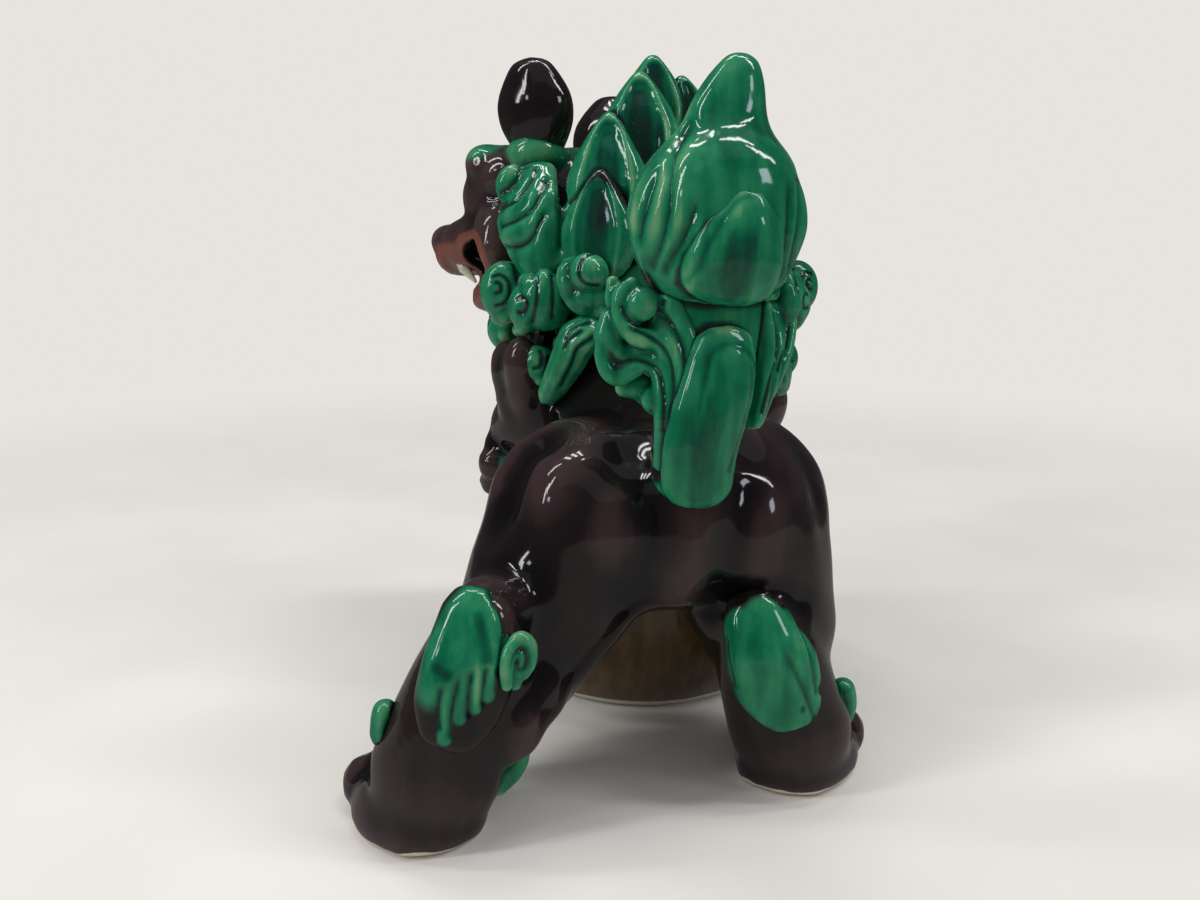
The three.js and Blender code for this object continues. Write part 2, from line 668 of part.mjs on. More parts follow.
function maneCurl(side, { bearing, rise, lift, heading, radius, turns }) {
  const { place, out } = onMane(side * bearing, rise, lift);
  const arm = UP.clone().applyAxisAngle(out, radians(side * heading));
  return curl(place, out, arm, radius, side * turns);
}

// Tail.
const tailAt = at(RUMP_AT.x, RUMP_AT.y + TAIL_BACK, RUMP_AT.z + TAIL_RISE);
const stemTop = tailAt.z + STEM_HEIGHT;

function onTail(left, back, share) {
  return at(tailAt.x + left, tailAt.y + back, tailAt.z + share * STEM_HEIGHT);
}

function stemForm() {
  const stations = [
    station(onTail(1, -1, 0.08), STEM_WIDE * 0.78, STEM_DEEP),
    station(onTail(1, 0, 0.32), STEM_WIDE * 0.84, STEM_DEEP),
    station(onTail(-3, -1, 0.56), STEM_WIDE * 0.93, STEM_DEEP),
    station(onTail(-6, -3, 0.82), STEM_WIDE * 1.05, STEM_DEEP),
    station(onTail(-6, -5, 1), STEM_WIDE * 1.15, STEM_DEEP),
  ];
  return drawn(stations, LEFT, { steps: 6, domes: [0.6, 0.3] });
}

function tongueLobeForm() {
  const stations = [
    station(onTail(2, STEM_DEEP * 0.75, 0.1), TONGUE_LOBE_WIDE * 0.94, TONGUE_LOBE_DEEP),
    station(onTail(1, STEM_DEEP * 0.85, 0.32), TONGUE_LOBE_WIDE, TONGUE_LOBE_DEEP),
    station(onTail(-4, STEM_DEEP * 0.85, 0.56), TONGUE_LOBE_WIDE, TONGUE_LOBE_DEEP),
    station(onTail(-7, STEM_DEEP * 0.7, 0.76), TONGUE_LOBE_WIDE * 0.86, TONGUE_LOBE_DEEP * 0.9),
  ];
  return drawn(stations, LEFT, { steps: 6, domes: [1, 1.2] });
}

// A strand that climbs beside the stem, swings out and ends against a round knob.
function strandForm(points, knob, knobShare) {
  const stations = points.map(([left, back, share]) => station(onTail(left, back, share), STRAND_RADIUS));
  const strand = drawn(stations, BACK, { sides: 6, steps: 9, caps: 1 });
  const radius = STRAND_KNOB_RADIUS * knobShare;
  return joined(strand, egg(onTail(...knob), at(radius, radius, radius), undefined, 8, 6));
}

function plumeStation(left, back, share, wide, deep) {
  const place = at(tailAt.x + left, tailAt.y + back, stemTop + share * PLUME_HEIGHT);
  return station(place, PLUME_WIDE * wide, PLUME_DEEP * deep);
}

function plumeForm() {
  const stations = [
    plumeStation(-7, -3, 0.02, 0.74, 0.8),
    plumeStation(-7, -2, 0.14, 0.88, 0.95),
    plumeStation(-7, -2, 0.28, 1, 1),
    plumeStation(-8, -2, 0.42, 0.95, 0.92),
    plumeStation(-9, -2, 0.56, 0.77, 0.76),
    plumeStation(-10, -2, 0.7, 0.54, 0.56),
    plumeStation(-12, -2, 0.84, 0.38, 0.4),
    plumeStation(-14, -1, 0.96, 0.22, 0.24),
  ];
  return drawn(stations, LEFT, { sides: 13, steps: 10, domes: [0.3, 0.8] });
}

function frontLobeForm() {
  const part = (left, back, share, wide, deep) => {
    const place = at(tailAt.x + left, tailAt.y + back, stemTop + share * FRONT_LOBE_HEIGHT);
    return station(place, FRONT_LOBE_WIDE * wide, FRONT_LOBE_DEEP * deep);
  };
  const stations = [
    part(-5, 11, 0.06, 0.95, 0.9),
    part(-6, 14, 0.28, 1, 1),
    part(-8, 14, 0.55, 0.82, 0.95),
    part(-10, 11, 0.88, 0.45, 0.6),
  ];
  return drawn(stations, LEFT, { steps: 6, domes: [0.5, 0.8] });
}

// Tufts lie on the backs of the hocks and run down the shins.
function tuftForm(hockAt, shinAt, endAt) {
  const laid = (place, back, wide, deep) => {
    const seat = moved(moved(place, BACK, back), LEFT, TUFT_SHIFT);
    return station(seat, TUFT_HALF_WIDTH * wide, TUFT_DEEP * deep);
  };
  const stations = [
    laid(moved(hockAt, UP, HOCK_RADIUS * 0.2), HOCK_RADIUS * 0.4, 0.8, 1),
    laid(between(hockAt, shinAt, 0.45), HOCK_RADIUS * 0.9, 1, 1),
    laid(shinAt, SHIN_RADIUS * 0.78, 0.95, 0.85),
    laid(endAt, ANKLE_RADIUS * 0.84, 0.6, 0.5),
  ];
  return drawn(stations, LEFT, { steps: 6, domes: [1, 0.6] });
}

// A small lock that hangs at an ankle, between two heights about a place.
function ankleLock(place, top, bottom) {
  const from = moved(place, UP, top);
  const to = moved(place, UP, bottom);
  const stations = [
    station(from, ANKLE_LOCK_RADIUS * 0.8),
    station(between(from, to, 0.5), ANKLE_LOCK_RADIUS),
    station(to, ANKLE_LOCK_RADIUS * 0.55),
  ];
  return drawn(stations, BACK, { sides: 7, steps: 4 });
}

// Body.
lute("ball", ballForm, AMBER, [ballCavity, ballFootHollow, ballVent]);
lute("torso", torsoForm, AUBERGINE, [torsoHollow, neckVent]);
lute("left_hind_paw", footForm(LEFT_HEEL_AT, LEFT_FOOT_TURN), AUBERGINE);
lute("right_hind_paw", footForm(RIGHT_HEEL_AT, RIGHT_FOOT_TURN), AUBERGINE);
const leftLeg = hindLegForm(1, LEFT_KNEE_AT, LEFT_HOCK_AT, LEFT_SHIN_AT, LEFT_ANKLE_AT);
const rightLeg = hindLegForm(-1, RIGHT_KNEE_AT, RIGHT_HOCK_AT, RIGHT_SHIN_AT, RIGHT_ANKLE_AT);
lute("left_hind_leg", leftLeg, AUBERGINE, [() => thighForm(1, LEFT_KNEE_AT, 8)(-LEG_WALL)]);
lute("right_hind_leg", rightLeg, AUBERGINE, [() => thighForm(-1, RIGHT_KNEE_AT, 8)(-LEG_WALL)]);
lute("left_fore_paw", pawForm(LEFT_PAW_BEARING), AUBERGINE);
lute("right_fore_paw", pawForm(RIGHT_PAW_BEARING), AUBERGINE);
lute("left_foreleg", forelegForm(1, LEFT_PAW_BEARING), AUBERGINE);
lute("right_foreleg", forelegForm(-1, RIGHT_PAW_BEARING), AUBERGINE);

// Head.
lute("head", headForm(), AUBERGINE, [skullHollow]);
lute("lower_jaw", jawForm(), AUBERGINE);
lute("tongue", tongueForm(), RED);
for (const [label, side] of [["left", 1], ["right", -1]]) {
  const fangOut = side * MUZZLE_WIDE * 0.5;
  const gum = muzzleUp - MUZZLE_DEEP * 0.7;
  lute(`${label}_upper_fang`, fangForm(fangOut, muzzleTip - 20, gum, -FANG_LENGTH), IVORY);
  const jawTop = -SKULL_TALL - JAW_DROP * 0.5 + JAW_DEEP * 0.5;
  const lowerOut = side * JAW_WIDE * 0.6;
  lute(`${label}_lower_fang`, fangForm(lowerOut, JAW_LENGTH - 4, jawTop, LOWER_FANG_LENGTH), IVORY);
}
const noseUp = muzzleUp + MUZZLE_DEEP * 0.4;
const noseTip = headEgg(0, muzzleTip - 1, noseUp, NOSE_WIDE, NOSE_DEEP, NOSE_DEEP, 10, 6);
const nostrils = [1, -1].map((side) => headEgg(side * NOSE_WIDE * 0.75, muzzleTip - 3,
  muzzleUp + MUZZLE_DEEP * 0.25, NOSTRIL_RADIUS, NOSTRIL_RADIUS, NOSTRIL_RADIUS, 7, 5));
lute("nose", joined(noseTip, ...nostrils), AUBERGINE);
for (const [label, side] of [["left", 1], ["right", -1]]) {
  const eyeOut = side * SKULL_WIDE * 0.48;
  lute(`${label}_eye`, headEgg(eyeOut, SKULL_LONG * 0.78 + SOCKET_RADIUS * 0.62, SKULL_TALL * 0.4,
    EYE_RADIUS, EYE_RADIUS, EYE_RADIUS, 10, 7), IVORY);
  lute(`${label}_brow`, headEgg(side * SKULL_WIDE * 0.58, SKULL_LONG * 0.92, SKULL_TALL * 0.78,
    BROW_LENGTH, BROW_DEEP, BROW_DEEP, 10, 7), GREEN);
  lute(`${label}_ear`, earForm(side), AUBERGINE);
}

// Mane.
lute("mane", maneForm, AUBERGINE, [maneHollow]);
for (const { name, ...shape } of FLAMES) {
  lute(name, flame(shape), GREEN);
}
for (const [label, side] of [["left", 1], ["right", -1]]) {
  for (const { name, ...shape } of MANE_LOCKS) {
    lute(`${label}_${name}`, lock(side, shape), GREEN);
  }
  for (const { name, ...shape } of MANE_CURLS) {
    lute(`${label}_${name}`, maneCurl(side, shape), GREEN);
  }
}

// Tail.
lute("tail_stem", stemForm(), GREEN);
lute("tail_tongue", tongueLobeForm(), GREEN);
lute("tail_plume", plumeForm(), GREEN);
lute("tail_front_lobe", frontLobeForm(), GREEN);
lute("tail_left_strand", strandForm(LEFT_STRAND, LEFT_KNOB, 1), GREEN);
lute("tail_left_low_strand", strandForm(LEFT_LOW_STRAND, LEFT_LOW_KNOB, 0.8), GREEN);
lute("tail_right_strand", strandForm(RIGHT_STRAND, RIGHT_KNOB, 0.9), GREEN);

// Tufts and ankle locks.
const leftTuftEnd = between(LEFT_SHIN_AT, LEFT_ANKLE_AT, 0.3);
const rightTuftEnd = between(RIGHT_SHIN_AT, RIGHT_ANKLE_AT, 0.5);
lute("left_hock_tuft", tuftForm(LEFT_HOCK_AT, LEFT_SHIN_AT, leftTuftEnd), GREEN);
lute("right_hock_tuft", tuftForm(RIGHT_HOCK_AT, RIGHT_SHIN_AT, rightTuftEnd), GREEN);
const hockInside = moved(between(LEFT_HOCK_AT, LEFT_SHIN_AT, 0.6), LEFT, -HOCK_RADIUS * 0.7);
const hockCurlAt = moved(hockInside, BACK, HOCK_RADIUS);
const hockCurlOut = at(-0.6, 0.8, 0);
lute("left_hock_curl", curl(hockCurlAt, hockCurlOut, UP.clone().negate(), HOCK_CURL_RADIUS), GREEN);
const outerLeft = moved(LEFT_ANKLE_AT, LEFT, ANKLE_RADIUS * 0.66);
const innerLeft = moved(LEFT_ANKLE_AT, LEFT, -ANKLE_RADIUS * 0.95);
const outerRight = moved(RIGHT_ANKLE_AT, LEFT, -ANKLE_RADIUS * 0.95);
lute("left_outer_lock", ankleLock(outerLeft, 28, 8), GREEN);
lute("left_inner_lock", ankleLock(innerLeft, 10, -10), GREEN);
lute("right_outer_lock", ankleLock(outerRight, 16, -2), GREEN);

// The whole figure stands on the ground with its origin under the middle of its box.
const box = new THREE.Box3().setFromObject(figure);
const middle = box.getCenter(at(0, 0, 0));
figure.position.set(-middle.x, -middle.y, -box.min.z);

export default figure;
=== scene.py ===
# %% [markdown]
# # A porcelain guardian lion, glazed in green and aubergine
# The lion is a hollow porcelain figure. Its body was cast, and its locks, flames and curls were pressed in
# moulds and stuck on with slip before the glaze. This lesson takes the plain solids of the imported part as
# raw clay, softens and carves them as a modeller would, and then dips them in glaze. Lengths are in
# millimetres unless a name or a comment says metres.

# %% Load the raw clay
import math

import bpy
import numpy as np
from mathutils import Matrix, Vector
from mathutils.bvhtree import BVHTree


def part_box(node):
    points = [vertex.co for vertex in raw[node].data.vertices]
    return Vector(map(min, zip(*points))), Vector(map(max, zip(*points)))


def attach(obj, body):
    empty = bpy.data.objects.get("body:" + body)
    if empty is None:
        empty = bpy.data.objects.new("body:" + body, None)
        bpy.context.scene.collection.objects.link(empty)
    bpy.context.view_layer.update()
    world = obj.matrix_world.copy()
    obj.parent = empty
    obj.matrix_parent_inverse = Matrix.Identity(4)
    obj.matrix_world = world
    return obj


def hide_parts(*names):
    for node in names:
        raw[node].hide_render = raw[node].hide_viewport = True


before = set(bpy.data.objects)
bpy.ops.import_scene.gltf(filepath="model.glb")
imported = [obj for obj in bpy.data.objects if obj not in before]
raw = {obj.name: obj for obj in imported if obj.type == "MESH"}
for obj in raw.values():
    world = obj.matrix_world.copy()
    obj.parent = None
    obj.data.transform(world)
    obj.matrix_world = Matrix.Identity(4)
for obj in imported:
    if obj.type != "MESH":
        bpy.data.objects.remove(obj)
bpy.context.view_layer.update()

MM = 0.001
print("raw pieces:", len(raw))

# %% [markdown]
# ## Where the viewer stands
# The lion is seen from behind and from its left, with the eye a little above the middle of the figure. The
# camera comes first, because many lines are drawn on the clay as they are seen from there. A drawing is a
# list of points of a picture that is 1200 wide and 900 tall, and the focal length is counted in the same
# points.

# %% The camera
PICTURE_WIDE = 1200
PICTURE_TALL = 900
FOCAL = 970
SENSOR_WIDE = 36
NEAREST_SEEN = 10 * MM
EYE_ASIDE = 124.23
EYE_BEHIND = 480.48
EYE_HEIGHT = 225
EYE_TURN = math.radians(12)
EYE_TILT = math.radians(12.5)

ball_low, ball_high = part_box("ball")
ball_x = (ball_low[0] + ball_high[0]) / 2 / MM
ball_y = (ball_low[1] + ball_high[1]) / 2 / MM
eye = Vector((ball_x + EYE_ASIDE, ball_y + EYE_BEHIND, EYE_HEIGHT)) * MM
level = Vector((-math.sin(EYE_TURN), -math.cos(EYE_TURN), 0))
ahead = level * math.cos(EYE_TILT) - Vector((0, 0, math.sin(EYE_TILT)))
right = Vector((-math.cos(EYE_TURN), math.sin(EYE_TURN), 0))
above = right.cross(ahead)

bpy.ops.object.select_all(action="DESELECT")
bpy.ops.object.camera_add(location=eye, rotation=ahead.to_track_quat("-Z", "Y").to_euler())
camera = bpy.context.object
camera.data.sensor_width = SENSOR_WIDE
camera.data.lens = FOCAL / PICTURE_WIDE * SENSOR_WIDE
camera.data.clip_start = NEAREST_SEEN
bpy.context.scene.camera = camera


def sight(x, y):
    """The direction in which a point of the picture is seen."""
    return (ahead * FOCAL + right * (x - PICTURE_WIDE / 2) + above * (PICTURE_TALL / 2 - y)).normalized()


print("eye at", [round(v, 3) for v in eye], "lens", round(camera.data.lens, 1))

# %% [markdown]
# ## Softening the clay
# The raw solids have flat facets and seams. A copy of one or more of them is swelled by about a millimetre
# so that the seams close, built anew from small cubes, and rubbed smooth. Remeshing is chosen over
# subdivision because it fuses pieces that only touch, as slip does.

# %% Rubbing and rebuilding
def only(*pieces):
    """Selects these pieces and nothing else."""
    bpy.ops.object.select_all(action="DESELECT")
    for piece in pieces:
        piece.select_set(True)
    bpy.context.view_layer.objects.active = pieces[0]


def finish_with(piece, kind, **settings):
    """Adds one modifier with its settings and applies it."""
    only(piece)
    bpy.ops.object.modifier_add(type=kind)
    modifier = piece.modifiers[-1]
    for setting, value in settings.items():
        setattr(modifier, setting, value)
    bpy.ops.object.modifier_apply(modifier=modifier.name)


def rub(piece, rounds, **settings):
    """Rubs a piece: each round takes every point halfway to the middle of its neighbours."""
    finish_with(piece, "SMOOTH", factor=0.5, iterations=rounds, **settings)


def rebuild(piece, grain):
    """Builds a piece anew from cubes of this grain, which fuses all that overlaps."""
    finish_with(piece, "REMESH", mode="VOXEL", voxel_size=grain * MM)


def soften(piece, grain, swell, blur):
    """Swells a piece, builds it anew and rubs away all that is smaller than the blur."""
    finish_with(piece, "DISPLACE", strength=swell * MM, mid_level=0)
    rebuild(piece, grain)
    if blur:
        rub(piece, rounds=round((2 * blur / grain) ** 2))


print("rubbing and rebuilding work on one piece at a time")

# %% Copies of the raw clay
WELD = 0.02


def clay(name, *nodes):
    """A merged copy of the raw solids of these nodes, as one piece."""
    copies = []
    for node in nodes:
        copy = bpy.data.objects.new(name, raw[node].data.copy())
        bpy.context.collection.objects.link(copy)
        copies.append(copy)
    only(*copies)
    if len(copies) > 1:
        bpy.ops.object.join()
    piece = bpy.context.object
    piece.name = name
    piece.data.name = name
    bpy.ops.object.mode_set(mode="EDIT")
    bpy.ops.mesh.select_all(action="SELECT")
    bpy.ops.mesh.remove_doubles(threshold=WELD * MM)
    bpy.ops.object.mode_set(mode="OBJECT")
    return piece


print("raw triangles:", sum(len(node.data.polygons) for node in raw.values()))

# %% [markdown]
# ## Eggs and rolls
# A modeller adds clay as eggs that are pressed on and as rolls that are laid along a line. An egg starts as
# a sphere that is scaled to its radii, and a roll as a curve with a round bevel whose radius changes along
# it. Both are only joined to the piece at first. The next softening fuses them with it.

# %% Eggs and rolls of clay
EGG_SEGMENTS = 24
EGG_RINGS = 16
ROLL_ROUNDNESS = 3


def ball_of_clay(name, place, radii):
    """An egg of clay of its own, at a place and with three radii."""
    bpy.ops.object.select_all(action="DESELECT")
    bpy.ops.mesh.primitive_uv_sphere_add(
        segments=EGG_SEGMENTS, ring_count=EGG_RINGS, radius=MM, location=Vector(place) * MM)
    egg = bpy.context.object
    egg.name = name
    egg.data.name = name
    egg.scale = radii
    bpy.ops.object.transform_apply(location=True, rotation=True, scale=True)
    return egg


def add_ball(piece, place, radii):
    """Presses an egg of clay onto a piece."""
    only(piece, ball_of_clay("egg", place, radii))
    bpy.ops.object.join()


def add_roll(piece, line, radii):
    """Lays a roll of clay along a line of points in metres. The radii are shared out along it."""
    shape = bpy.data.curves.new("roll", "CURVE")
    shape.dimensions = "3D"
    shape.bevel_depth = MM
    shape.bevel_resolution = ROLL_ROUNDNESS
    shape.use_fill_caps = True
    thread = shape.splines.new("POLY")
    thread.points.add(len(line) - 1)
    sizes = np.interp(np.linspace(0, 1, len(line)), np.linspace(0, 1, len(radii)), radii)
    for knot, place, size in zip(thread.points, line, sizes):
        knot.co = (*place, 1)
        knot.radius = size
    roll = bpy.data.objects.new("roll", shape)
    bpy.context.collection.objects.link(roll)
    only(roll)
    bpy.ops.object.convert(target="MESH")
    for end, size in ((line[0], sizes[0]), (line[-1], sizes[-1])):
        add_ball(piece, np.array(end) / MM, (size, size, size))
    only(piece, bpy.data.objects[roll.name])
    bpy.ops.object.join()


print("an egg has", EGG_SEGMENTS * EGG_RINGS, "faces before it is fused")

# %% [markdown]
# ## Points and notes
# The carving works on all the points of a piece at once, as one array of numbers. A note is one number for
# each point, kept in the mesh as an attribute. The glazes read the notes later, so a place can be painted
# while it is shaped.

# %% Points and notes
def points_of(piece, kind="co"):
    """The places of all the points of a piece in metres, or their normals."""
    flat = np.empty(len(piece.data.vertices) * 3)
    piece.data.vertices.foreach_get(kind, flat)
    return flat.reshape(-1, 3)


def put_points(piece, points):
    """Moves the points of a piece to new places in metres."""
    piece.data.vertices.foreach_set("co", points.ravel())
    piece.data.update()


def stand_flat(piece):
    """Lifts what has sunk below the ground, so that a piece stands on it, and gives its points."""
    points = points_of(piece)
    points[:, 2] = np.maximum(points[:, 2], 0)
    put_points(piece, points)
    return points


def note(piece, name, values):
    """Writes one number for each point of a piece, for the glaze to read."""
    known = piece.data.attributes.get(name) or piece.data.attributes.new(name, "FLOAT", "POINT")
    known.data.foreach_set("value", np.asarray(values, dtype=np.float32))


def noted(piece, name):
    """The numbers noted on a piece, or zeros."""
    known = piece.data.attributes.get(name)
    values = np.zeros(len(piece.data.vertices), dtype=np.float32)
    if known:
        known.data.foreach_get("value", values)
    return values


def darken(piece, values):
    """Adds painted shade, together with the glaze that pools there, to the places that the glaze treats as
    grooves.
    """
    note(piece, "groove", np.maximum(noted(piece, "groove"), values))


def ramp(values, low, high):
    """Rises smoothly from 0 at low to 1 at high, or falls where low is above high."""
    share = np.clip((values - low) / (high - low), 0, 1)
    return share * share * (3 - 2 * share)


print("a ramp from 0 to 1:", np.round(ramp(np.linspace(0, 1, 5), 0, 1), 2))

# %% [markdown]
# ## Drawing on the clay
# A drawing in the picture becomes a line in space in one of two ways. It is traced onto a piece, where each
# sight line meets its skin, or it is hung at a given depth behind the figure's middle. Skins are search
# trees of faces, which answer such questions fast.

# %% Smooth lines and skins
def smooth_line(points, count):
    """A smooth line through points, with this many steps between two of them."""
    points = [np.array(p, dtype=float) for p in points]
    ends = [2 * points[0] - points[1]] + points + [2 * points[-1] - points[-2]]
    line = []
    for a, b, c, d in zip(ends, ends[1:], ends[2:], ends[3:]):
        for step in range(count):
            t = step / count
            line.append(b + 0.5 * t * (c - a + t * (2 * a - 5 * b + 4 * c - d + t * (3 * (b - c) + d - a))))
    line.append(points[-1])
    return line


def skin_of(piece):
    """A search tree of the faces of a piece."""
    faces = [p.vertices for p in piece.data.polygons]
    return BVHTree.FromPolygons([v.co for v in piece.data.vertices], faces)


raw_skins = {name: skin_of(node) for name, node in raw.items()}


print("skins:", len(raw_skins))

# %% Tracing and hanging
TRACE_STEPS = 12
HANG_STEPS = 8


def traced(piece, *drawings):
    """Lines on a piece, each drawn through points of the picture, in metres."""
    skin = skin_of(piece)
    middle = Vector(points_of(piece).mean(axis=0))
    lines = []
    for drawing in drawings:
        line = []
        for x, y in smooth_line(drawing, TRACE_STEPS):
            toward = sight(x, y)
            place = skin.ray_cast(eye, toward)[0]
            if place is None:
                place = skin.find_nearest(eye + toward * (middle - eye).dot(toward))[0]
            line.append(np.array(place))
        lines.append(np.array(line))
    return lines


def hung(drawing, backs, *carriers):
    """A line in metres, seen through points of the picture. It hangs at distances behind the footprint's
    middle that change from end to end, or lies on a raw solid that stands before it."""
    line = []
    path = smooth_line(drawing, HANG_STEPS)
    for (x, y), back in zip(path, np.linspace(backs[0], backs[-1], len(path))):
        toward = sight(x, y)
        far = (back * MM - eye.y) / toward.y
        for carrier in carriers:
            hit = raw_skins[carrier].ray_cast(eye, toward)[3]
            if hit is not None and hit < far:
                far = hit
        line.append(np.array(eye + toward * far))
    return np.array(line)


def add_egg(piece, target, spot, push, radii, lift=0):
    """Presses an egg onto a piece where a point of the picture falls on a target, pushed in and lifted."""
    place = Vector(traced(target, [spot, spot])[0][0]) / MM
    add_ball(piece, place + sight(*spot) * push + Vector((0, 0, lift)), radii)


print("a traced line has", TRACE_STEPS, "steps for each point")

# %% [markdown]
# ## Carving
# A modeller draws a line on the leather-hard clay and presses a wooden tool along it. The clay on both
# sides stays round like a lock of hair, and the line itself becomes a sharp crease. Here a point near a
# line sinks along its normal, and how deep it sinks falls off as the side of a circle does. A thumb leaves
# a softer mark, which falls off as a bell does.

# %% How far a point is from a line
CHUNK = 4000


def nearest(points, marks):
    """How far each point is from the nearest mark, and which mark that is."""
    gap = np.empty(len(points))
    which = np.empty(len(points), dtype=int)
    for start in range(0, len(points), CHUNK):
        part = slice(start, start + CHUNK)
        squares = ((points[part, None] - marks[None]) ** 2).sum(-1)
        which[part] = squares.argmin(1)
        gap[part] = np.sqrt(squares.min(1))
    return gap, which


def reach(points, lines):
    """How far each point is from the nearest line."""
    return nearest(points, np.concatenate(lines))[0] / MM


print("marks are searched in chunks of", CHUNK)

# %% Creases and thumb marks
GROOVE_WIDE = 1.3
BEFORE_START = -0.01


def press(piece, depths):
    """Moves the points of a piece along their normals, outward by depths."""
    put_points(piece, points_of(piece) + points_of(piece, "normal") * (depths * MM)[:, None])


def thumb(piece, lines, height, width):
    """Raises a soft swelling along lines, or a hollow where the height is below zero."""
    press(piece, height * np.exp(-(reach(points_of(piece), lines) / width) ** 2))


def crease(piece, lines, width, depth, fade=0.01, shade=0.85):
    """Presses creases along lines, this wide on each side and this deep. They fade in at the start."""
    points = points_of(piece)
    sink = np.zeros(len(points))
    groove = np.zeros(len(points))
    for line in lines:
        gap, which = nearest(points, line)
        begun = ramp(which / (len(line) - 1), BEFORE_START, fade)
        share = np.clip(gap / MM / width, 0, 1)
        sink = np.maximum(sink, begun * depth * (1 - np.sqrt(1 - (1 - share) ** 2)))
        # The dark line along a crease is partly glaze pooled in it and partly painted shade.
        groove = np.maximum(groove, shade * begun * np.exp(-(gap / MM / GROOVE_WIDE) ** 2))
    press(piece, -sink)
    darken(piece, groove)


def reflected(piece, lines, middle, axis):
    """The same lines on the other side of a plane, laid on the skin of a piece."""
    skin = skin_of(piece)
    copies = []
    for line in lines:
        turned = line.copy()
        turned[:, axis] = 2 * middle - turned[:, axis]
        copies.append(np.array([skin.find_nearest(p)[0] for p in turned]))
    return copies


print("a crease darkens", GROOVE_WIDE, "mm on each side")

# %% [markdown]
# ## Leaves
# The flames and the tail's lobe and tongue are leaves: long and pointed, with a raised rim and a sunken
# middle. To carve a leaf, each point needs two shares, how far it is along the leaf and how far it is
# across it. The leaf is cut into slices along its length, and each slice tells how wide the leaf is there.

# %% Shares of a leaf
WIDTH_SLICES = 24
UPRIGHT = np.array((0, 0, 1.0))


def by_slices(length, values, count, measure, chosen=True):
    """A measure of the chosen values in each slice of a leaf, spread over all its points."""
    edges = np.linspace(0, 1, count + 1)
    middles = []
    measures = []
    for low, high in zip(edges, edges[1:]):
        inside = values[chosen & (length >= low) & (length <= high)]
        if len(inside):
            middles.append((low + high) / 2)
            measures.append(measure(inside))
    return np.interp(length, middles, measures)


def leaf_shares(piece, face):
    """The share up a leaf, from 0 to 1, the share across it, from -1 to 1, and how far a point faces out."""
    along = UPRIGHT - face * (UPRIGHT @ face)
    along /= np.linalg.norm(along)
    points = points_of(piece)
    length = points @ along
    length = (length - length.min()) / (length.max() - length.min())
    side = points @ np.cross(face, along)
    least = by_slices(length, side, WIDTH_SLICES, np.min)
    most = by_slices(length, side, WIDTH_SLICES, np.max)
    width = np.clip(2 * (side - least) / np.maximum(most - least, 1e-6) - 1, -1, 1)
    return length, width, points_of(piece, "normal") @ face


print("a leaf is measured in", WIDTH_SLICES, "slices")

# %% Scooping a leaf
RIM_SLICES = 16
RIM_WIDE = 0.12
FOOT_ENDS = 0.08
TIP_STARTS = 0.76
TIP_ENDS = 0.95
DISH_SHADE = 0.75


def dish_leaf(piece, face, inner, depth):
    """Scoops the front of a leaf into a dish, whose width is a share of the leaf's, and leaves a rim."""
    length, width, out = leaf_shares(piece, face)
    points = points_of(piece)
    height = points @ face
    front = out > 0
    on_rim = front & (np.abs(np.abs(width) - inner) < RIM_WIDE)
    rim = by_slices(length, height, RIM_SLICES, np.mean, on_rim)
    share = np.clip(1 - (width / inner) ** 2, 0, 1) * front
    share *= ramp(length, 0, FOOT_ENDS) * ramp(length, TIP_ENDS, TIP_STARTS)
    sunk = rim - depth * MM * share
    blend = ramp(share, 0, 0.3)
    put_points(piece, points + ((sunk - height) * blend)[:, None] * face)
    # Painted shade, together with pooled glaze, darkens the middle of the dish.
    darken(piece, DISH_SHADE * ramp(share, 0.25, 0.9))


def facing(*way):
    """A direction of length 1."""
    return np.array(way, dtype=float) / np.linalg.norm(way)


print("a rim is measured in", RIM_SLICES, "slices")

# %% [markdown]
# ## Pooled glaze
# Glaze runs off the ridges while it melts and pools in the hollows, so a ridge is pale and a hollow is
# dark. Each point is compared with a smoothed copy of its piece: above it is a ridge and below it a hollow.
# The carved creases, the seams against neighbours and the sunken middles of leaves count as hollows too,
# and their darkness is partly glaze that pools there and partly painted shade. A finished piece is then
# given its glaze and rides on the figure's one body in the place of its raw solids.

# %% Measuring ridges and hollows
SEAM_SEARCH = 4
SEAM_FULL = 0.98
GROOVE_SHARE = 0.95


def rubbed(points, pairs, rounds):
    """Points moved towards the middle of their neighbours a number of times."""
    count = np.bincount(pairs.ravel(), minlength=len(points))[:, None]
    for _ in range(rounds):
        total = np.zeros_like(points)
        np.add.at(total, pairs[:, 0], points[pairs[:, 1]])
        np.add.at(total, pairs[:, 1], points[pairs[:, 0]])
        points = 0.5 * points + 0.5 * total / np.maximum(count, 1)
    return points


def seams(piece, own, width=2.2):
    """Darkens each point of a piece by how near it is to the raw solids of its neighbours: painted shade
    where pieces meet, partly glaze pooled in the seam.
    """
    low = points_of(piece).min(0) - SEAM_SEARCH * MM
    high = points_of(piece).max(0) + SEAM_SEARCH * MM
    near = np.zeros(len(piece.data.vertices))
    for name, skin in raw_skins.items():
        other_low, other_high = (np.array(corner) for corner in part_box(name))
        if name in own or (other_low > high).any() or (other_high < low).any():
            continue
        for index, vertex in enumerate(piece.data.vertices):
            if near[index] < SEAM_FULL:
                gap = skin.find_nearest(vertex.co, 2 * width * MM)[3]
                if gap is not None:
                    near[index] = max(near[index], math.exp(-(gap / MM / width) ** 2))
    # Painted shade where pieces meet, partly glaze pooled in the seam.
    darken(piece, near)


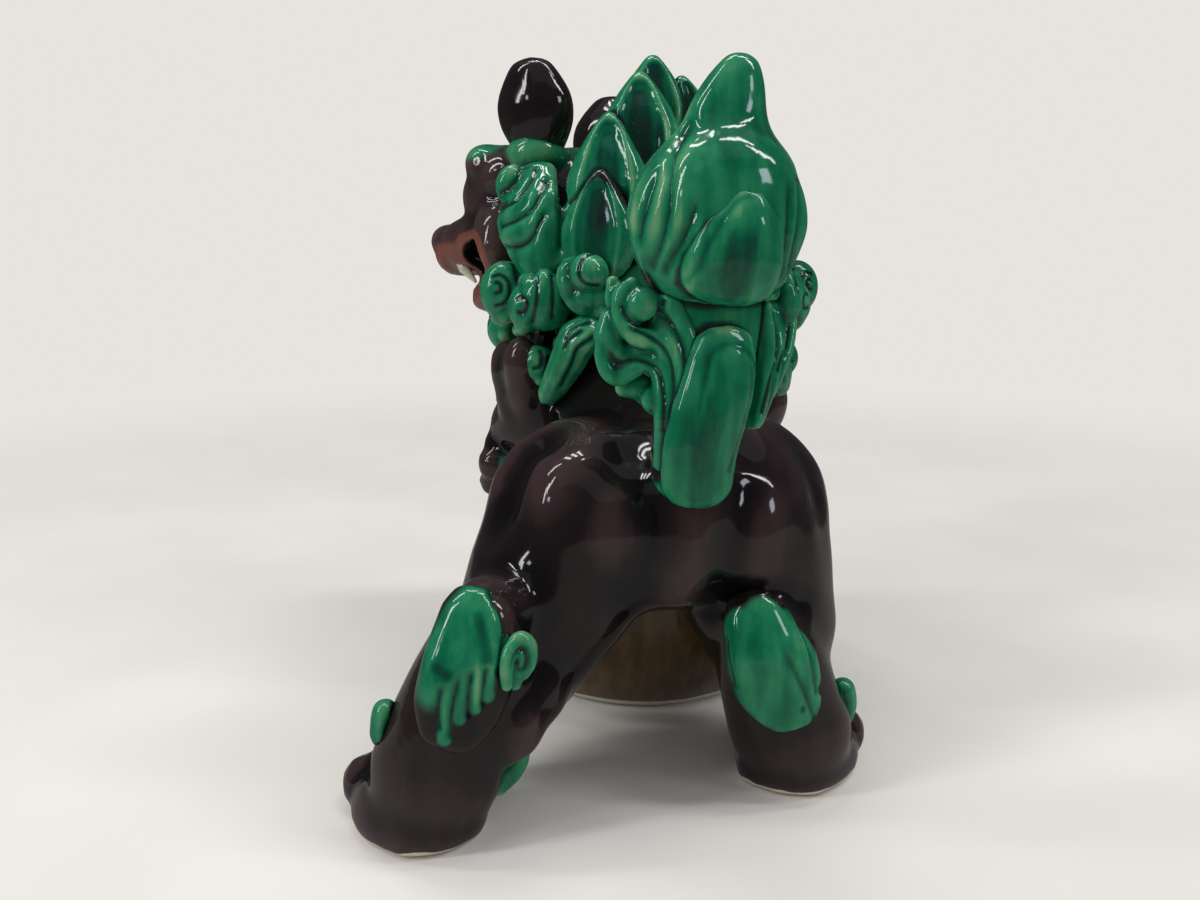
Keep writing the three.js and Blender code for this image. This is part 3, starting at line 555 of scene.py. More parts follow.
def pool(piece, scale, rounds=24):
    """Notes where glaze pools on a piece: 0 on ridges of this height, 0.5 on plain skin and 1 in hollows."""
    pairs = np.empty(len(piece.data.edges) * 2, dtype=np.int64)
    piece.data.edges.foreach_get("vertices", pairs)
    points = points_of(piece)
    sunk = ((rubbed(points, pairs.reshape(-1, 2), rounds) - points) * points_of(piece, "normal")).sum(1)
    values = 0.5 + np.clip(sunk / (2 * scale * MM), -0.5, 0.5)
    # The groove note brings in the darkened creases, seams and middles, which are partly painted shade.
    note(piece, "hollow", np.maximum(values, noted(piece, "groove") * GROOVE_SHARE))


print("neighbours are looked for within", SEAM_SEARCH, "mm")

# %% Handing a piece over
def hand_over(piece, finish, slot, *nodes):
    """Gives a finished piece its glaze, and lets it stand for its raw solids."""
    piece.data.materials.clear()
    piece.data.materials.append(finish)
    only(piece)
    bpy.ops.object.shade_smooth()
    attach(piece, "root")
    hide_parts(*nodes)
    print(piece.name, "has", len(piece.data.polygons), "faces")


print("raw pieces to hand over:", len(raw))

# %% [markdown]
# ## Glaze thickness
# All the glazes are lead glazes, glassy and a little uneven. What differs is the colour and how it changes
# where the glaze is thick or thin. The thickness is one shared node group: it adds a cloudy mottle and
# streaks that run down to the hollows that were measured. It also gives a ripple for the shine.

# %% Nodes by name
def new_group(name, inputs, outputs):
    """An empty node group with named numbers going in and coming out."""
    group = bpy.data.node_groups.new(name, "ShaderNodeTree")
    for label, value in inputs:
        group.interface.new_socket(label, in_out="INPUT", socket_type="NodeSocketFloat").default_value = value
    for label in outputs:
        group.interface.new_socket(label, in_out="OUTPUT", socket_type="NodeSocketFloat")
    return group, group.nodes.new("NodeGroupInput"), group.nodes.new("NodeGroupOutput")


def feed(tree, value, socket):
    """Sets a socket to a number or a colour, or links another node's output to it."""
    if isinstance(value, (int, float, tuple)):
        socket.default_value = value
    else:
        tree.links.new(value, socket)


def math_node(tree, operation, a, b):
    """One sum of two values."""
    node = tree.nodes.new("ShaderNodeMath")
    node.operation = operation
    feed(tree, a, node.inputs[0])
    feed(tree, b, node.inputs[1])
    return node.outputs[0]


def noise_node(tree, place, scale, detail=2, roughness=0.5):
    """Cloudy noise about 0.5."""
    node = tree.nodes.new("ShaderNodeTexNoise")
    tree.links.new(place, node.inputs["Vector"])
    feed(tree, scale, node.inputs["Scale"])
    node.inputs["Detail"].default_value = detail
    node.inputs["Roughness"].default_value = roughness
    return node.outputs["Fac"]


print("node groups so far:", len(bpy.data.node_groups))

# %% Thickness as a node group
CLOUD = 45
CLOUDINESS = 0.3
CLOUD_DETAIL = 5
CLOUD_ROUGHNESS = 0.6
STREAK_SCALE = (150, 150, 22)
STREAK_DETAIL = 3
RIPPLE_SCALE = 110
RIPPLE_DETAIL = 1

thickness, taken, given = new_group(
    "glaze_thickness", [("Cloud", CLOUD), ("Cloudiness", CLOUDINESS)], ["Thickness", "Ripple"])
spot = thickness.nodes.new("ShaderNodeTexCoord").outputs["Object"]
sunk = thickness.nodes.new("ShaderNodeAttribute")
sunk.attribute_name = "hollow"
cloud = noise_node(thickness, spot, taken.outputs["Cloud"], CLOUD_DETAIL, CLOUD_ROUGHNESS)
runs = thickness.nodes.new("ShaderNodeMapping")
runs.inputs["Scale"].default_value = STREAK_SCALE
thickness.links.new(spot, runs.inputs["Vector"])
streaks = noise_node(thickness, runs.outputs["Vector"], 1, STREAK_DETAIL)
drift = math_node(thickness, "SUBTRACT", math_node(thickness, "ADD", cloud, streaks), 1)
drift = math_node(thickness, "MULTIPLY", drift, taken.outputs["Cloudiness"])
thick = math_node(thickness, "ADD", sunk.outputs["Fac"], math_node(thickness, "MULTIPLY", drift, 2))
thickness.links.new(thick, given.inputs["Thickness"])
thickness.links.new(noise_node(thickness, spot, RIPPLE_SCALE, RIPPLE_DETAIL), given.inputs["Ripple"])
print("thickness nodes:", len(thickness.nodes))

# %% [markdown]
# ## Bare feet
# The glaze was wiped off near the ground, so that the feet would not stick to the kiln shelf. A second node
# group finds that bare clay by its height. The edge of the wipe wanders up and down on the paws and hardly
# at all on the ball, which was wiped as it turned.

# %% Bare feet as a node group
# A wipe is given by its height in metres and by how far its edge wanders, as a share of that height.
WIPED_PAWS = (0.0032, 1)
WIPED_BALL = (0.006, 0.15)
WANDER_SCALE = 60
WIPE_SHARPNESS = 3000

bare_foot, taken, given = new_group("bare_foot", list(zip(("Height", "Wander"), WIPED_PAWS)), ["Bare"])
spot = bare_foot.nodes.new("ShaderNodeTexCoord").outputs["Object"]
parted = bare_foot.nodes.new("ShaderNodeSeparateXYZ")
bare_foot.links.new(spot, parted.inputs[0])
line = math_node(bare_foot, "MULTIPLY", noise_node(bare_foot, spot, WANDER_SCALE), 2)
line = math_node(bare_foot, "SUBTRACT", line, 1)
line = math_node(bare_foot, "MULTIPLY", line, taken.outputs["Wander"])
line = math_node(bare_foot, "ADD", line, 1)
line = math_node(bare_foot, "MULTIPLY", line, taken.outputs["Height"])
below = math_node(bare_foot, "SUBTRACT", line, parted.outputs["Z"])
below = math_node(bare_foot, "MULTIPLY", below, WIPE_SHARPNESS)
clamped = bare_foot.nodes.new("ShaderNodeClamp")
bare_foot.links.new(below, clamped.inputs[0])
bare_foot.links.new(clamped.outputs[0], given.inputs["Bare"])
print("groups:", [g.name for g in bpy.data.node_groups])

# %% [markdown]
# ## Mixing the glazes
# Each glaze is a list of tones from thin to thick: copper green turns yellowish on ridges and nearly black
# in grooves, and manganese aubergine turns reddish where it is thin. One function makes them all. Washes
# lay one glaze over another where a note says so, as a painter's brush would.

# %% The tones
BARE_CLAY = (0.62, 0.57, 0.47, 1)
AUBERGINE_TONES = [(0.10, (0.042, 0.024, 0.026)), (0.34, (0.012, 0.0078, 0.0085)),
                   (0.55, (0.0055, 0.0042, 0.0047)), (1.0, (0.003, 0.0026, 0.003))]
GREEN_TONES = [(0.08, (0.16, 0.34, 0.17)), (0.3, (0.020, 0.21, 0.095)), (0.5, (0.003, 0.125, 0.060)),
               (0.7, (0.003, 0.050, 0.031)), (0.9, (0.012, 0.016, 0.016)), (1.0, (0.012, 0.009, 0.011))]
FACE_TONES = [(0.15, (0.105, 0.058, 0.055)), (0.4, (0.043, 0.026, 0.026)), (0.6, (0.021, 0.014, 0.0145)),
              (1.0, (0.006, 0.004, 0.004))]
AMBER_TONES = [(0.2, (0.17, 0.107, 0.044)), (0.5, (0.090, 0.058, 0.028)), (0.9, (0.040, 0.025, 0.013))]
YELLOW_TONES = [(0.2, (0.52, 0.36, 0.07)), (0.6, (0.36, 0.22, 0.03)), (1.0, (0.06, 0.035, 0.01))]
IVORY_TONES = [(0.2, (0.60, 0.55, 0.43)), (0.6, (0.46, 0.41, 0.30)), (1.0, (0.12, 0.09, 0.06))]
RED_TONES = [(0.2, (0.19, 0.066, 0.044)), (0.6, (0.115, 0.042, 0.030)), (1.0, (0.03, 0.014, 0.011))]
DARK_TONES = [(0.2, (0.012, 0.008, 0.006)), (0.8, (0.004, 0.003, 0.003))]


def toned(tree, thick, tones):
    """The colour of a glaze of this thickness."""
    colours = tree.nodes.new("ShaderNodeValToRGB")
    while len(colours.color_ramp.elements) < len(tones):
        colours.color_ramp.elements.new(0.5)
    for stop, (place, tone) in zip(colours.color_ramp.elements, tones):
        stop.position = place
        stop.color = (*tone, 1)
    tree.links.new(thick, colours.inputs[0])
    return colours.outputs["Color"]


def washed(tree, share, under, over):
    """One colour laid over another by a share."""
    mixed = tree.nodes.new("ShaderNodeMix")
    mixed.data_type = "RGBA"
    for label, value in (("Factor", share), ("A", under), ("B", over)):
        feed(tree, value, mixed.inputs[label])
    return mixed.outputs["Result"]


print("tones of green:", len(GREEN_TONES))

# %% [markdown]
# ## One function for every glaze
# Under the colours all the glazes are the same glass: hardly rough, with a faint ripple in the shine that
# also moves the normal a little. The bare clay at the feet is dull.

# %% The glazes
BARE_DULLNESS = 0.6
RIPPLE_DULLNESS = 0.04
RIPPLE_BUMP = 0.06
RIPPLE_HEIGHT = 2
GLASS_IOR = 1.5


def glaze(name, tones, cloud=CLOUD, cloudiness=CLOUDINESS, gloss=0.06, washes=(), wiped=WIPED_PAWS):
    """A glaze whose colour runs through tones from thin to thick, with washes where they are noted."""
    material = bpy.data.materials.new(name)
    material.use_nodes = True
    tree = material.node_tree
    shader = tree.nodes["Principled BSDF"]
    depth = tree.nodes.new("ShaderNodeGroup")
    depth.node_tree = thickness
    depth.inputs["Cloud"].default_value = cloud
    depth.inputs["Cloudiness"].default_value = cloudiness
    thick = depth.outputs["Thickness"]
    colour = toned(tree, thick, tones)
    for noted_name, wash_tones in washes:
        where = tree.nodes.new("ShaderNodeAttribute")
        where.attribute_name = noted_name
        colour = washed(tree, where.outputs["Fac"], colour, toned(tree, thick, wash_tones))
    foot = tree.nodes.new("ShaderNodeGroup")
    foot.node_tree = bare_foot
    foot.inputs["Height"].default_value, foot.inputs["Wander"].default_value = wiped
    colour = washed(tree, foot.outputs["Bare"], colour, BARE_CLAY)
    tree.links.new(colour, shader.inputs["Base Color"])
    dull = math_node(tree, "MULTIPLY", foot.outputs["Bare"], BARE_DULLNESS)
    sheen = math_node(tree, "MULTIPLY", depth.outputs["Ripple"], RIPPLE_DULLNESS)
    rough = math_node(tree, "ADD", math_node(tree, "ADD", dull, sheen), gloss)
    tree.links.new(rough, shader.inputs["Roughness"])
    bump = tree.nodes.new("ShaderNodeBump")
    bump.inputs["Strength"].default_value = RIPPLE_BUMP
    bump.inputs["Distance"].default_value = RIPPLE_HEIGHT * MM
    tree.links.new(depth.outputs["Ripple"], bump.inputs["Height"])
    tree.links.new(bump.outputs["Normal"], shader.inputs["Normal"])
    shader.inputs["IOR"].default_value = GLASS_IOR
    return material


AUBERGINE = glaze("aubergine_glaze", AUBERGINE_TONES, cloud=18, cloudiness=0.09, washes=[
    ("green", GREEN_TONES)])
# The mouth wash lays dark tones as painted shade inside the mouth and the nostrils; the pupils take the same
# dark tones as their own colour.
HEAD_GLAZE = glaze("head_glazes", FACE_TONES, cloud=24, cloudiness=0.14, washes=[
    ("green", GREEN_TONES), ("lip", RED_TONES), ("mouth", DARK_TONES)])
GREEN = glaze("green_glaze", GREEN_TONES, cloud=40, washes=[("aubergine", AUBERGINE_TONES)])
AMBER = glaze("amber_glaze", AMBER_TONES, cloud=16, cloudiness=0.35, washes=[
    ("yellow", YELLOW_TONES)], wiped=WIPED_BALL)
IVORY = glaze("ivory_glaze", IVORY_TONES, gloss=0.12)
EYE_GLAZE = glaze("eye_glazes", IVORY_TONES, gloss=0.05, washes=[
    ("iris", YELLOW_TONES), ("pupil", DARK_TONES)])
RED = glaze("red_glaze", RED_TONES)
print("glazes:", [m.name for m in bpy.data.materials if "glaze" in m.name])

# %% [markdown]
# ## Clay for the body
# Trunk, legs and paws were one casting, so their solids are fused into one piece. Where the solids are too
# thin, clay is added first: eggs at the ankles, the left knee, the chest and the knuckles of the left
# forepaw, and two rolls that hang on the chest as dark locks.

# %% Filling out the body
BODY = ["torso", "left_hind_leg", "right_hind_leg", "left_hind_paw", "right_hind_paw", "left_foreleg",
        "right_foreleg", "left_fore_paw", "right_fore_paw"]
ANKLES = [(115, 137, 25), (-32, 130, 24)]
ANKLE_RADII = (25, 27, 22)
CHEST_LOCKS = [[(521, 350), (522, 372), (519, 396)], [(507, 350), (504, 375), (508, 408)]]
CHEST_LOCK_RADII = [(4, 6, 4), (4, 7, 4)]
CHEST_LUMPS = [((521, 388), 5, (8, 9, 13)), ((507, 392), 4, (8, 9, 14)), ((534, 396), 6, (8, 8, 12))]
CHEST_LIFT = 12
KNEE_LUMPS = [((530, 690), 4, (15, 14, 15)), ((510, 726), 6, (13, 12, 14))]
KNUCKLES = [((500, 443), 2, (7, 7, 7)), ((495, 463), 2, (8, 8, 8)), ((493, 483), 3, (7.5, 7.5, 7.5))]

body = clay("lion_body", *BODY)
for across, back, high in ANKLES:
    add_ball(body, (ball_x + across, ball_y + back, high), ANKLE_RADII)
for line, radii in zip(traced(body, *CHEST_LOCKS), CHEST_LOCK_RADII):
    add_roll(body, line, radii)
for spot, push, radii in CHEST_LUMPS:
    add_egg(body, body, spot, push, radii, CHEST_LIFT)
for spot, push, radii in KNEE_LUMPS:
    add_egg(body, body, spot, push, radii)
for spot, push, radii in KNUCKLES:
    add_egg(body, raw["left_fore_paw"], spot, push, radii)
soften(body, grain=1.7, swell=1.2, blur=0)
print("the body has", len(body.data.vertices), "points")

# %% [markdown]
# ## Rubbing the body
# The haunches and back are rubbed hard until they are round and the joints flow into each other. The toes
# are rubbed less, so that they stay apart: a vertex group weakens the rubbing near the boxes that hold
# them.

# %% Rubbing haunches more than toes
PAWS = ["left_hind_paw", "right_hind_paw", "left_fore_paw", "right_fore_paw"]
HEEL_LONG = 24
TOES_HIGH = 22
FAR_FROM_TOES = 20

points = points_of(body)
toe_gap = np.full(len(points), 1.0)
for paw in PAWS:
    low, high = (np.array(corner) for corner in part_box(paw))
    if "hind" in paw:
        high[1] -= HEEL_LONG * MM
        high[2] = TOES_HIGH * MM
    outside = np.maximum(np.maximum(low - points, points - high), 0)
    toe_gap = np.minimum(toe_gap, np.linalg.norm(outside, axis=1))
broad = body.vertex_groups.new(name="broad")
for index, weight in enumerate(ramp(toe_gap / MM, 1, FAR_FROM_TOES)):
    broad.add([index], float(weight), "REPLACE")
rub(body, rounds=80, vertex_group="broad")
rub(body, rounds=8)
print("points on toes:", int((toe_gap < MM).sum()))

# %% [markdown]
# ## The lion's back
# Thumb marks shape the muscles: hollows run down beside the tail's root and above the knees, the haunches
# swell between them, and the right flank and the upper edge of the left haunch are pressed in. The left
# forepaw has a small green lock at its wrist, painted on by its distance from a line.

# %% Hollows and swellings of the body
BACK_HOLLOWS = [[(640, 455), (648, 500), (652, 545), (636, 590)], [(748, 498), (738, 545), (728, 590)]]
KNEE_HOLLOWS = [[(474, 588), (500, 586), (520, 606), (530, 640)], [(742, 596), (775, 590), (800, 602)]]
HAUNCH_DOMES = [[(568, 486), (588, 535)], [(768, 515), (772, 560)]]
RIGHT_FLANK = [(800, 440), (815, 465), (822, 490)]
LEFT_HAUNCH_EDGE = [(538, 436), (520, 450), (506, 476), (498, 504)]
WRIST_LOCK = [(512, 447), (509, 456), (511, 467)]

back_hollows = traced(body, *BACK_HOLLOWS)
knee_hollows = traced(body, *KNEE_HOLLOWS)
thumb(body, back_hollows, height=-5, width=11)
thumb(body, knee_hollows, height=-2.5, width=6)
thumb(body, traced(body, *HAUNCH_DOMES), height=3.6, width=20)
thumb(body, traced(body, RIGHT_FLANK), height=-4, width=14)
thumb(body, traced(body, LEFT_HAUNCH_EDGE), height=-8, width=13)
rub(body, rounds=12)
points = stand_flat(body)
pool(body, scale=1.6, rounds=60)
wrist = traced(raw["left_fore_paw"], WRIST_LOCK)
note(body, "green", ramp(reach(points, wrist), 5.5, 3.5))
hand_over(body, AUBERGINE, "aubergine_glaze", *BODY)

# %% [markdown]
# ## The ball
# The ball is thrown, so it is truly round. It keeps a flat foot with a bare rim, and its brown glaze turns
# yellow near the left forepaw.

# %% The ball
YELLOW_SPOT = [(480, 485), (484, 497), (486, 510)]

ball = clay("ball_under_paws", "ball")
soften(ball, grain=2.0, swell=0.5, blur=9)
points = stand_flat(ball)
pool(ball, scale=3, rounds=30)
note(ball, "yellow", ramp(reach(points, traced(ball, YELLOW_SPOT)), 20, 5))
hand_over(ball, AMBER, "amber_glaze", "ball")

# %% [markdown]
# ## The head's own directions
# The lion looks over its left shoulder, so the head is turned about the upright and tipped a little. Places
# on the face are easier to give in the head's own directions: left of, ahead of and above the middle of the
# skull.

# %% Where the head sits
HEAD_ASIDE = 31
HEAD_BACK = -16
HEAD_HEIGHT = 227
HEAD_TURN = math.radians(49)
HEAD_TIP = math.radians(-6)
SIDES = (("left", 1), ("right", -1))

head_place = np.array((ball_x + HEAD_ASIDE, ball_y + HEAD_BACK, HEAD_HEIGHT))
head_turn = np.array(Matrix.Rotation(HEAD_TURN, 3, "Z") @ Matrix.Rotation(HEAD_TIP, 3, "Y"))


def in_head(left, ahead_of, up):
    """A place in the head, or many, from the middle of the skull."""
    return np.stack(np.broadcast_arrays(left, -np.asarray(ahead_of), up), -1) @ head_turn.T + head_place


def head_shares(points):
    """How far points are left of, ahead of and above the middle of the skull, one row for each."""
    return (points / MM - head_place) @ head_turn * (1, -1, 1)


def ring_about(own, place, radii=(1, 1, 1), sign=1):
    """How far points of the head are from a place, counted in the radii of an egg about it."""
    left, ahead_of, up = place
    return np.linalg.norm((own - (sign * left, ahead_of, up)) / np.array(radii), axis=1)


print("head at", np.round(head_place, 1))

# %% [markdown]
# ## Clay for the head
# Skull, muzzle, nose, jaw and brows are one pressing, rubbed together. The jaw is squashed first, because
# the raw one hangs too low. Eggs and rolls fill the cheeks, the muzzle, the hinges of the jaw and the roots
# of the ears.

# %% Filling out the head
FACE = ["head", "lower_jaw", "nose", "left_brow", "right_brow"]
JAW_MIDDLE = -29
JAW_PLACE = -28
JAW_SQUASH = 0.55
CHEEK_LINE = [(494, 222), (496, 245)]
CHEEK_PUSH = 6
CHEEK_RADII = (10, 10)
FACE_LUMPS = [((20, 28, 25), (17, 17, 14)), ((17.5, 41, 15), (14, 12.5, 15)), ((16, 52, -3), (11, 14, 8.5)),
              ((11, 41, -31), (11, 12, 7))]
HINGE = np.array([(27, 29, -12), (26, 30, -25), (21, 38, -34)])
HINGE_RADII = (6, 6, 5)
EAR_ROOT_LIFT = 4
EAR_ROOT_RADII = (14, 14, 9)
MOUTH_BACK = (0, 34, -22)
MOUTH_BACK_RADII = (20, 15, 14)

jaw = clay("jaw", "lower_jaw")
left, ahead_of, up = head_shares(points_of(jaw)).T
put_points(jaw, in_head(left, ahead_of, JAW_PLACE + (up - JAW_MIDDLE) * JAW_SQUASH) * MM)
head = clay("lion_head", *(node for node in FACE if node != "lower_jaw"))
cheek = traced(head, CHEEK_LINE)[0] + np.array(ahead) * CHEEK_PUSH * MM
only(head, jaw)
bpy.ops.object.join()
for side, sign in SIDES:
    left, ahead_of, up = head_shares(cheek).T
    add_roll(head, in_head(sign * left, ahead_of, up) * MM, CHEEK_RADII)
    for (left, ahead_of, up), radii in FACE_LUMPS:
        add_ball(head, in_head(sign * left, ahead_of, up), radii)
    left, ahead_of, up = HINGE.T
    add_roll(head, in_head(sign * left, ahead_of, up) * MM, HINGE_RADII)
    low, high = (np.array(corner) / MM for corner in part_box(f"{side}_ear"))
    root = (low + high) / 2
    root[2] = low[2] + EAR_ROOT_LIFT
    add_ball(head, root, EAR_ROOT_RADII)
add_ball(head, in_head(*MOUTH_BACK), MOUTH_BACK_RADII)
soften(head, grain=0.9, swell=1.3, blur=5.2)
print("the head has", len(head.data.vertices), "points")

# %% [markdown]
# ## Nose, eye sockets and mouth
# The nose is pressed down and two sockets are pressed in for the eyes. The mouth is cut out with three
# egg-shaped knives, one at each corner and a flat one in front, as a modeller cuts a cast head open while
# it is soft.

# %% Cutting the mouth
NOSE_DROP = 4.5
NOSE_STARTS = 64
NOSE_ENDS = 76
SOCKET = (15, 57, 16)
SOCKET_RADII = (8.5, 8, 8.5)
SOCKET_DEPTH = 3.5
CUTS = [((36, 40.5, -17.5), (24, 11, 10)), ((-36, 40.5, -17.5), (24, 11, 10)), ((0, 62, -28), (31, 22, 5))]

own = head_shares(points_of(head))
own[:, 2] -= NOSE_DROP * ramp(own[:, 1], NOSE_STARTS, NOSE_ENDS)
for side, sign in SIDES:
    own[:, 1] -= SOCKET_DEPTH * ramp(ring_about(own, SOCKET, SOCKET_RADII, sign), 1, 0.5)
put_points(head, in_head(*own.T) * MM)
for place, radii in CUTS:
    knife = ball_of_clay("mouth_knife", (0, 0, 0), radii)
    put_points(knife, points_of(knife) @ head_turn.T + in_head(*place) * MM)
    finish_with(head, "BOOLEAN", operation="DIFFERENCE", object=knife, solver="EXACT")
    bpy.data.objects.remove(knife)
rebuild(head, grain=0.9)
rub(head, rounds=14)
print("cuts:", len(CUTS))

# %% [markdown]
# ## Painting the face
# Red goes on the lips round the cuts, and painted shade goes inside the mouth and the nostrils. Green goes
# on the brows, on a collar about the root of each ear and on the upper nape. A painter would do this with a
# brush. Here each colour is a note, worked out from places in the head.

# %% Lips, nostrils, brows and collars
NOSTRIL = (7, 84, -6)
NOSTRIL_DEPTH = 2
NOSTRIL_WIDE = 2.6
BROW = (24, 40, 38)
BROW_RADII = (19, 15, 10.5)
COLLAR_SEARCH = 9

own = head_shares(points_of(head))
left, ahead_of, up = own.T
nostril = np.minimum(*(ring_about(own, NOSTRIL, sign=sign) for side, sign in SIDES))
press(head, -NOSTRIL_DEPTH * np.exp(-(nostril / NOSTRIL_WIDE) ** 2))
upper_lip = ramp(up, -7.5, -10.5) * ramp(ahead_of, 49, 55)
lower_lip = ramp(up, -25, -28) * ramp(ahead_of, 36, 42)
lip = upper_lip + lower_lip
# The nostrils and the inside of the mouth are painted dark as shade.
inside = ramp(nostril, 3.6, 2.4)
for place, radii in CUTS:
    ring = ring_about(own, place, radii)
    lip = np.maximum(lip, ramp(ring, 1.6, 1.45))
    inside = np.maximum(inside, ramp(ring, 1.06, 1.0))
note(head, "lip", lip)
note(head, "mouth", inside)
brow = np.minimum(*(ring_about(own, BROW, BROW_RADII, sign) for side, sign in SIDES))
collar = np.full(len(own), 1.0)
for index, vertex in enumerate(head.data.vertices):
    gaps = [raw_skins[f"{side}_ear"].find_nearest(vertex.co, COLLAR_SEARCH * MM)[3] for side, sign in SIDES]
    collar[index] = min((gap for gap in gaps if gap is not None), default=1)
nape = ramp(ahead_of, 16, 10) * ramp(up, 22, 28) * ramp(np.abs(left), 8, 14)
note(head, "green", np.maximum.reduce([ramp(brow, 1.1, 0.75), ramp(collar / MM, 7, 5), nape]))
seams(head, FACE + ["left_eye", "right_eye"], width=1.5)
pool(head, scale=1.0, rounds=30)
hand_over(head, HEAD_GLAZE, "aubergine_glaze", *FACE)

# %% [markdown]
# ## Ears, eyes, teeth and tongue
# These are small pressings of their own. The ears are plain aubergine lobes. The eyes are ivory balls with
# a yellow iris and a dark pupil, made a little smaller and brought forward so that they fill the new
# sockets. The upper fangs are rolled anew, because they curve back into the open corners of the mouth.

# %% How an eye and an upper fang are made
EYE_SIZE = 0.88
EYE_SHIFT = (-3.5, 5, 1)
GAZE_ASIDE = 15.5
GAZE_UP = 16
EYE_FRONT = 48
FANG_CURVE = np.array([(17, 60, -15), (17.5, 56, -21.5), (17, 49.5, -27.5)])
FANG_RADII = (3.4, 2.9, 0.9)
FANG_ROOT_RADII = (3.4, 3.4, 3.4)


def make_eye(side, sign):
    """A painted eyeball that looks ahead."""
    eyeball = clay(f"{side}_eyeball", f"{side}_eye")
    soften(eyeball, grain=0.6, swell=0.3, blur=1.6)
    own = head_shares(points_of(eyeball))
    own = EYE_SIZE * own + (1 - EYE_SIZE) * own.mean(axis=0) + np.array(EYE_SHIFT) * (sign, 1, 1)
    put_points(eyeball, in_head(*own.T) * MM)
    gaze = np.hypot(own[:, 0] - sign * GAZE_ASIDE, own[:, 2] - GAZE_UP)
    front = own[:, 1] > EYE_FRONT
    note(eyeball, "iris", ramp(gaze, 5.2, 4.6) * front)
    note(eyeball, "pupil", ramp(gaze, 3.2, 2.7) * front)
    pool(eyeball, scale=1.0)
    return eyeball


def upper_fang(name, sign):
    """A fang that curves back, rolled from clay."""
    left, ahead_of, up = FANG_CURVE.T
    curve = in_head(sign * left, ahead_of, up)
    fang = ball_of_clay(name, curve[0], FANG_ROOT_RADII)
    add_roll(fang, curve * MM, FANG_RADII)
    return fang


print("an iris lies", GAZE_ASIDE, "mm from the middle of the face")

# %% Ears, eyes, teeth and tongue
for side, sign in SIDES:
    ear = clay(f"{side}_ear_lobe", f"{side}_ear")
    soften(ear, grain=1.0, swell=1.0, blur=4.5)
    seams(ear, [f"{side}_ear"], width=1.5)
    pool(ear, scale=1.4, rounds=40)
    hand_over(ear, AUBERGINE, "aubergine_glaze", f"{side}_ear")
    hand_over(make_eye(side, sign), EYE_GLAZE, "ivory_glaze", f"{side}_eye")
    for row in ("upper", "lower"):
        name = f"{side}_{row}_tooth"
        fang = upper_fang(name, sign) if row == "upper" else clay(name, f"{side}_{row}_fang")
        soften(fang, grain=0.5, swell=0.2, blur=0.8)
        pool(fang, scale=0.6)
        hand_over(fang, IVORY, "ivory_glaze", f"{side}_{row}_fang")
tongue = clay("mouth_tongue", "tongue")
soften(tongue, grain=0.7, swell=0.3, blur=1.6)
pool(tongue, scale=0.6)
hand_over(tongue, RED, "red_glaze", "tongue")

# %% [markdown]
# ## The mass of the mane
# Under the locks lies a plain mass of hair. Stems of clay stand on it, so that each curl has something to
# sit on. A stem starts under the middle of its curl and runs into the nearest part of the mass, and it has
# a twin on the right side.

# %% Stems under the curls
STEMS = [("left_cheek_curl", (508, 290), 19, 13), ("left_neck_lock", (530, 300), 20, 14),
         ("left_neck_lock", (556, 300), 20, 14), ("left_nape_knob", (590, 280), 30, 11),
         ("left_shoulder_lock", (570, 345), 17, 12), ("left_shoulder_curl", (528, 345), 13, 10),
         ("left_shoulder_curl", (524, 372), 12, 9), ("left_beard_curl", (494, 322), 15, 10),
         ("left_shoulder_curl", (512, 348), 20, 17)]
STEM_PUSH = 0.7
STEM_SUNK = 6
STEM_KNOTS = 5
STEM_TOP = 0.5
STEM_FOOT = 0.85
mane_middle = ball_x - 1

mane = clay("mane_mass", "mane")
for node, spot, push, size in STEMS:
    toward = sight(*spot)
    place = raw_skins[node].ray_cast(eye, toward)[0]
    if place is None:
        place = Vector((np.array(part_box(node)[0]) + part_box(node)[1]) / 2)
    place = place + toward * push * STEM_PUSH * MM
    root = raw_skins["mane"].find_nearest(place)[0]
    stem = np.linspace(place, root + (root - place).normalized() * STEM_SUNK * MM, STEM_KNOTS)
    add_roll(mane, stem, (size * STEM_TOP, size * STEM_FOOT))
    stem[:, 0] = 2 * mane_middle * MM - stem[:, 0]
    add_roll(mane, stem, (size * STEM_TOP, size * STEM_FOOT))
soften(mane, grain=1.3, swell=0.8, blur=6)
print("stems:", 2 * len(STEMS))

# %% [markdown]
# ## Waves of hair
# The mass is carved in waves that fan out from its middle and sway from side to side. A wave falls off
# towards its groove as the side of a circle does. The crests of the waves are green on the right side and
# high up. Low on the left, between the curls, the mass stays dark.

# %% Waves on the mane
WAVE_TURN = 24
WAVE_SWAY = 16
WAVE_LONG = 16
WAVE_DEPTH = 3.2

low, high = (np.array(corner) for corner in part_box("mane"))
away = (points_of(mane) - (low + high) / 2) @ head_turn / MM
swirl = np.degrees(np.arctan2(away[:, 0], away[:, 2])) + WAVE_SWAY * np.sin(away[:, 1] / WAVE_LONG)
share = 2 * np.abs((swirl / WAVE_TURN + 0.5) % 1 - 0.5)
roundness = np.sqrt(np.clip(1 - (1 - share) ** 2, 0, 1)) - 1
press(mane, WAVE_DEPTH * roundness * ramp(np.hypot(away[:, 0], away[:, 2]), 12, 30))
rub(mane, rounds=3)
# The wave grooves are darkened, partly as pooled glaze and partly as painted shade.
note(mane, "groove", 0.6 * ramp(share, 0.3, 0))
right_side = ramp(away[:, 0], 16, 0)
tall = ramp(points_of(mane)[:, 2] / MM, 178, 192)
note(mane, "green", 0.9 * ramp(share, 0.1, 0.45) * np.maximum(right_side, 0.85 * tall))
seams(mane, ["mane"], width=3)
pool(mane, scale=1.5, rounds=40)
hand_over(mane, AUBERGINE, "aubergine_glaze", "mane")

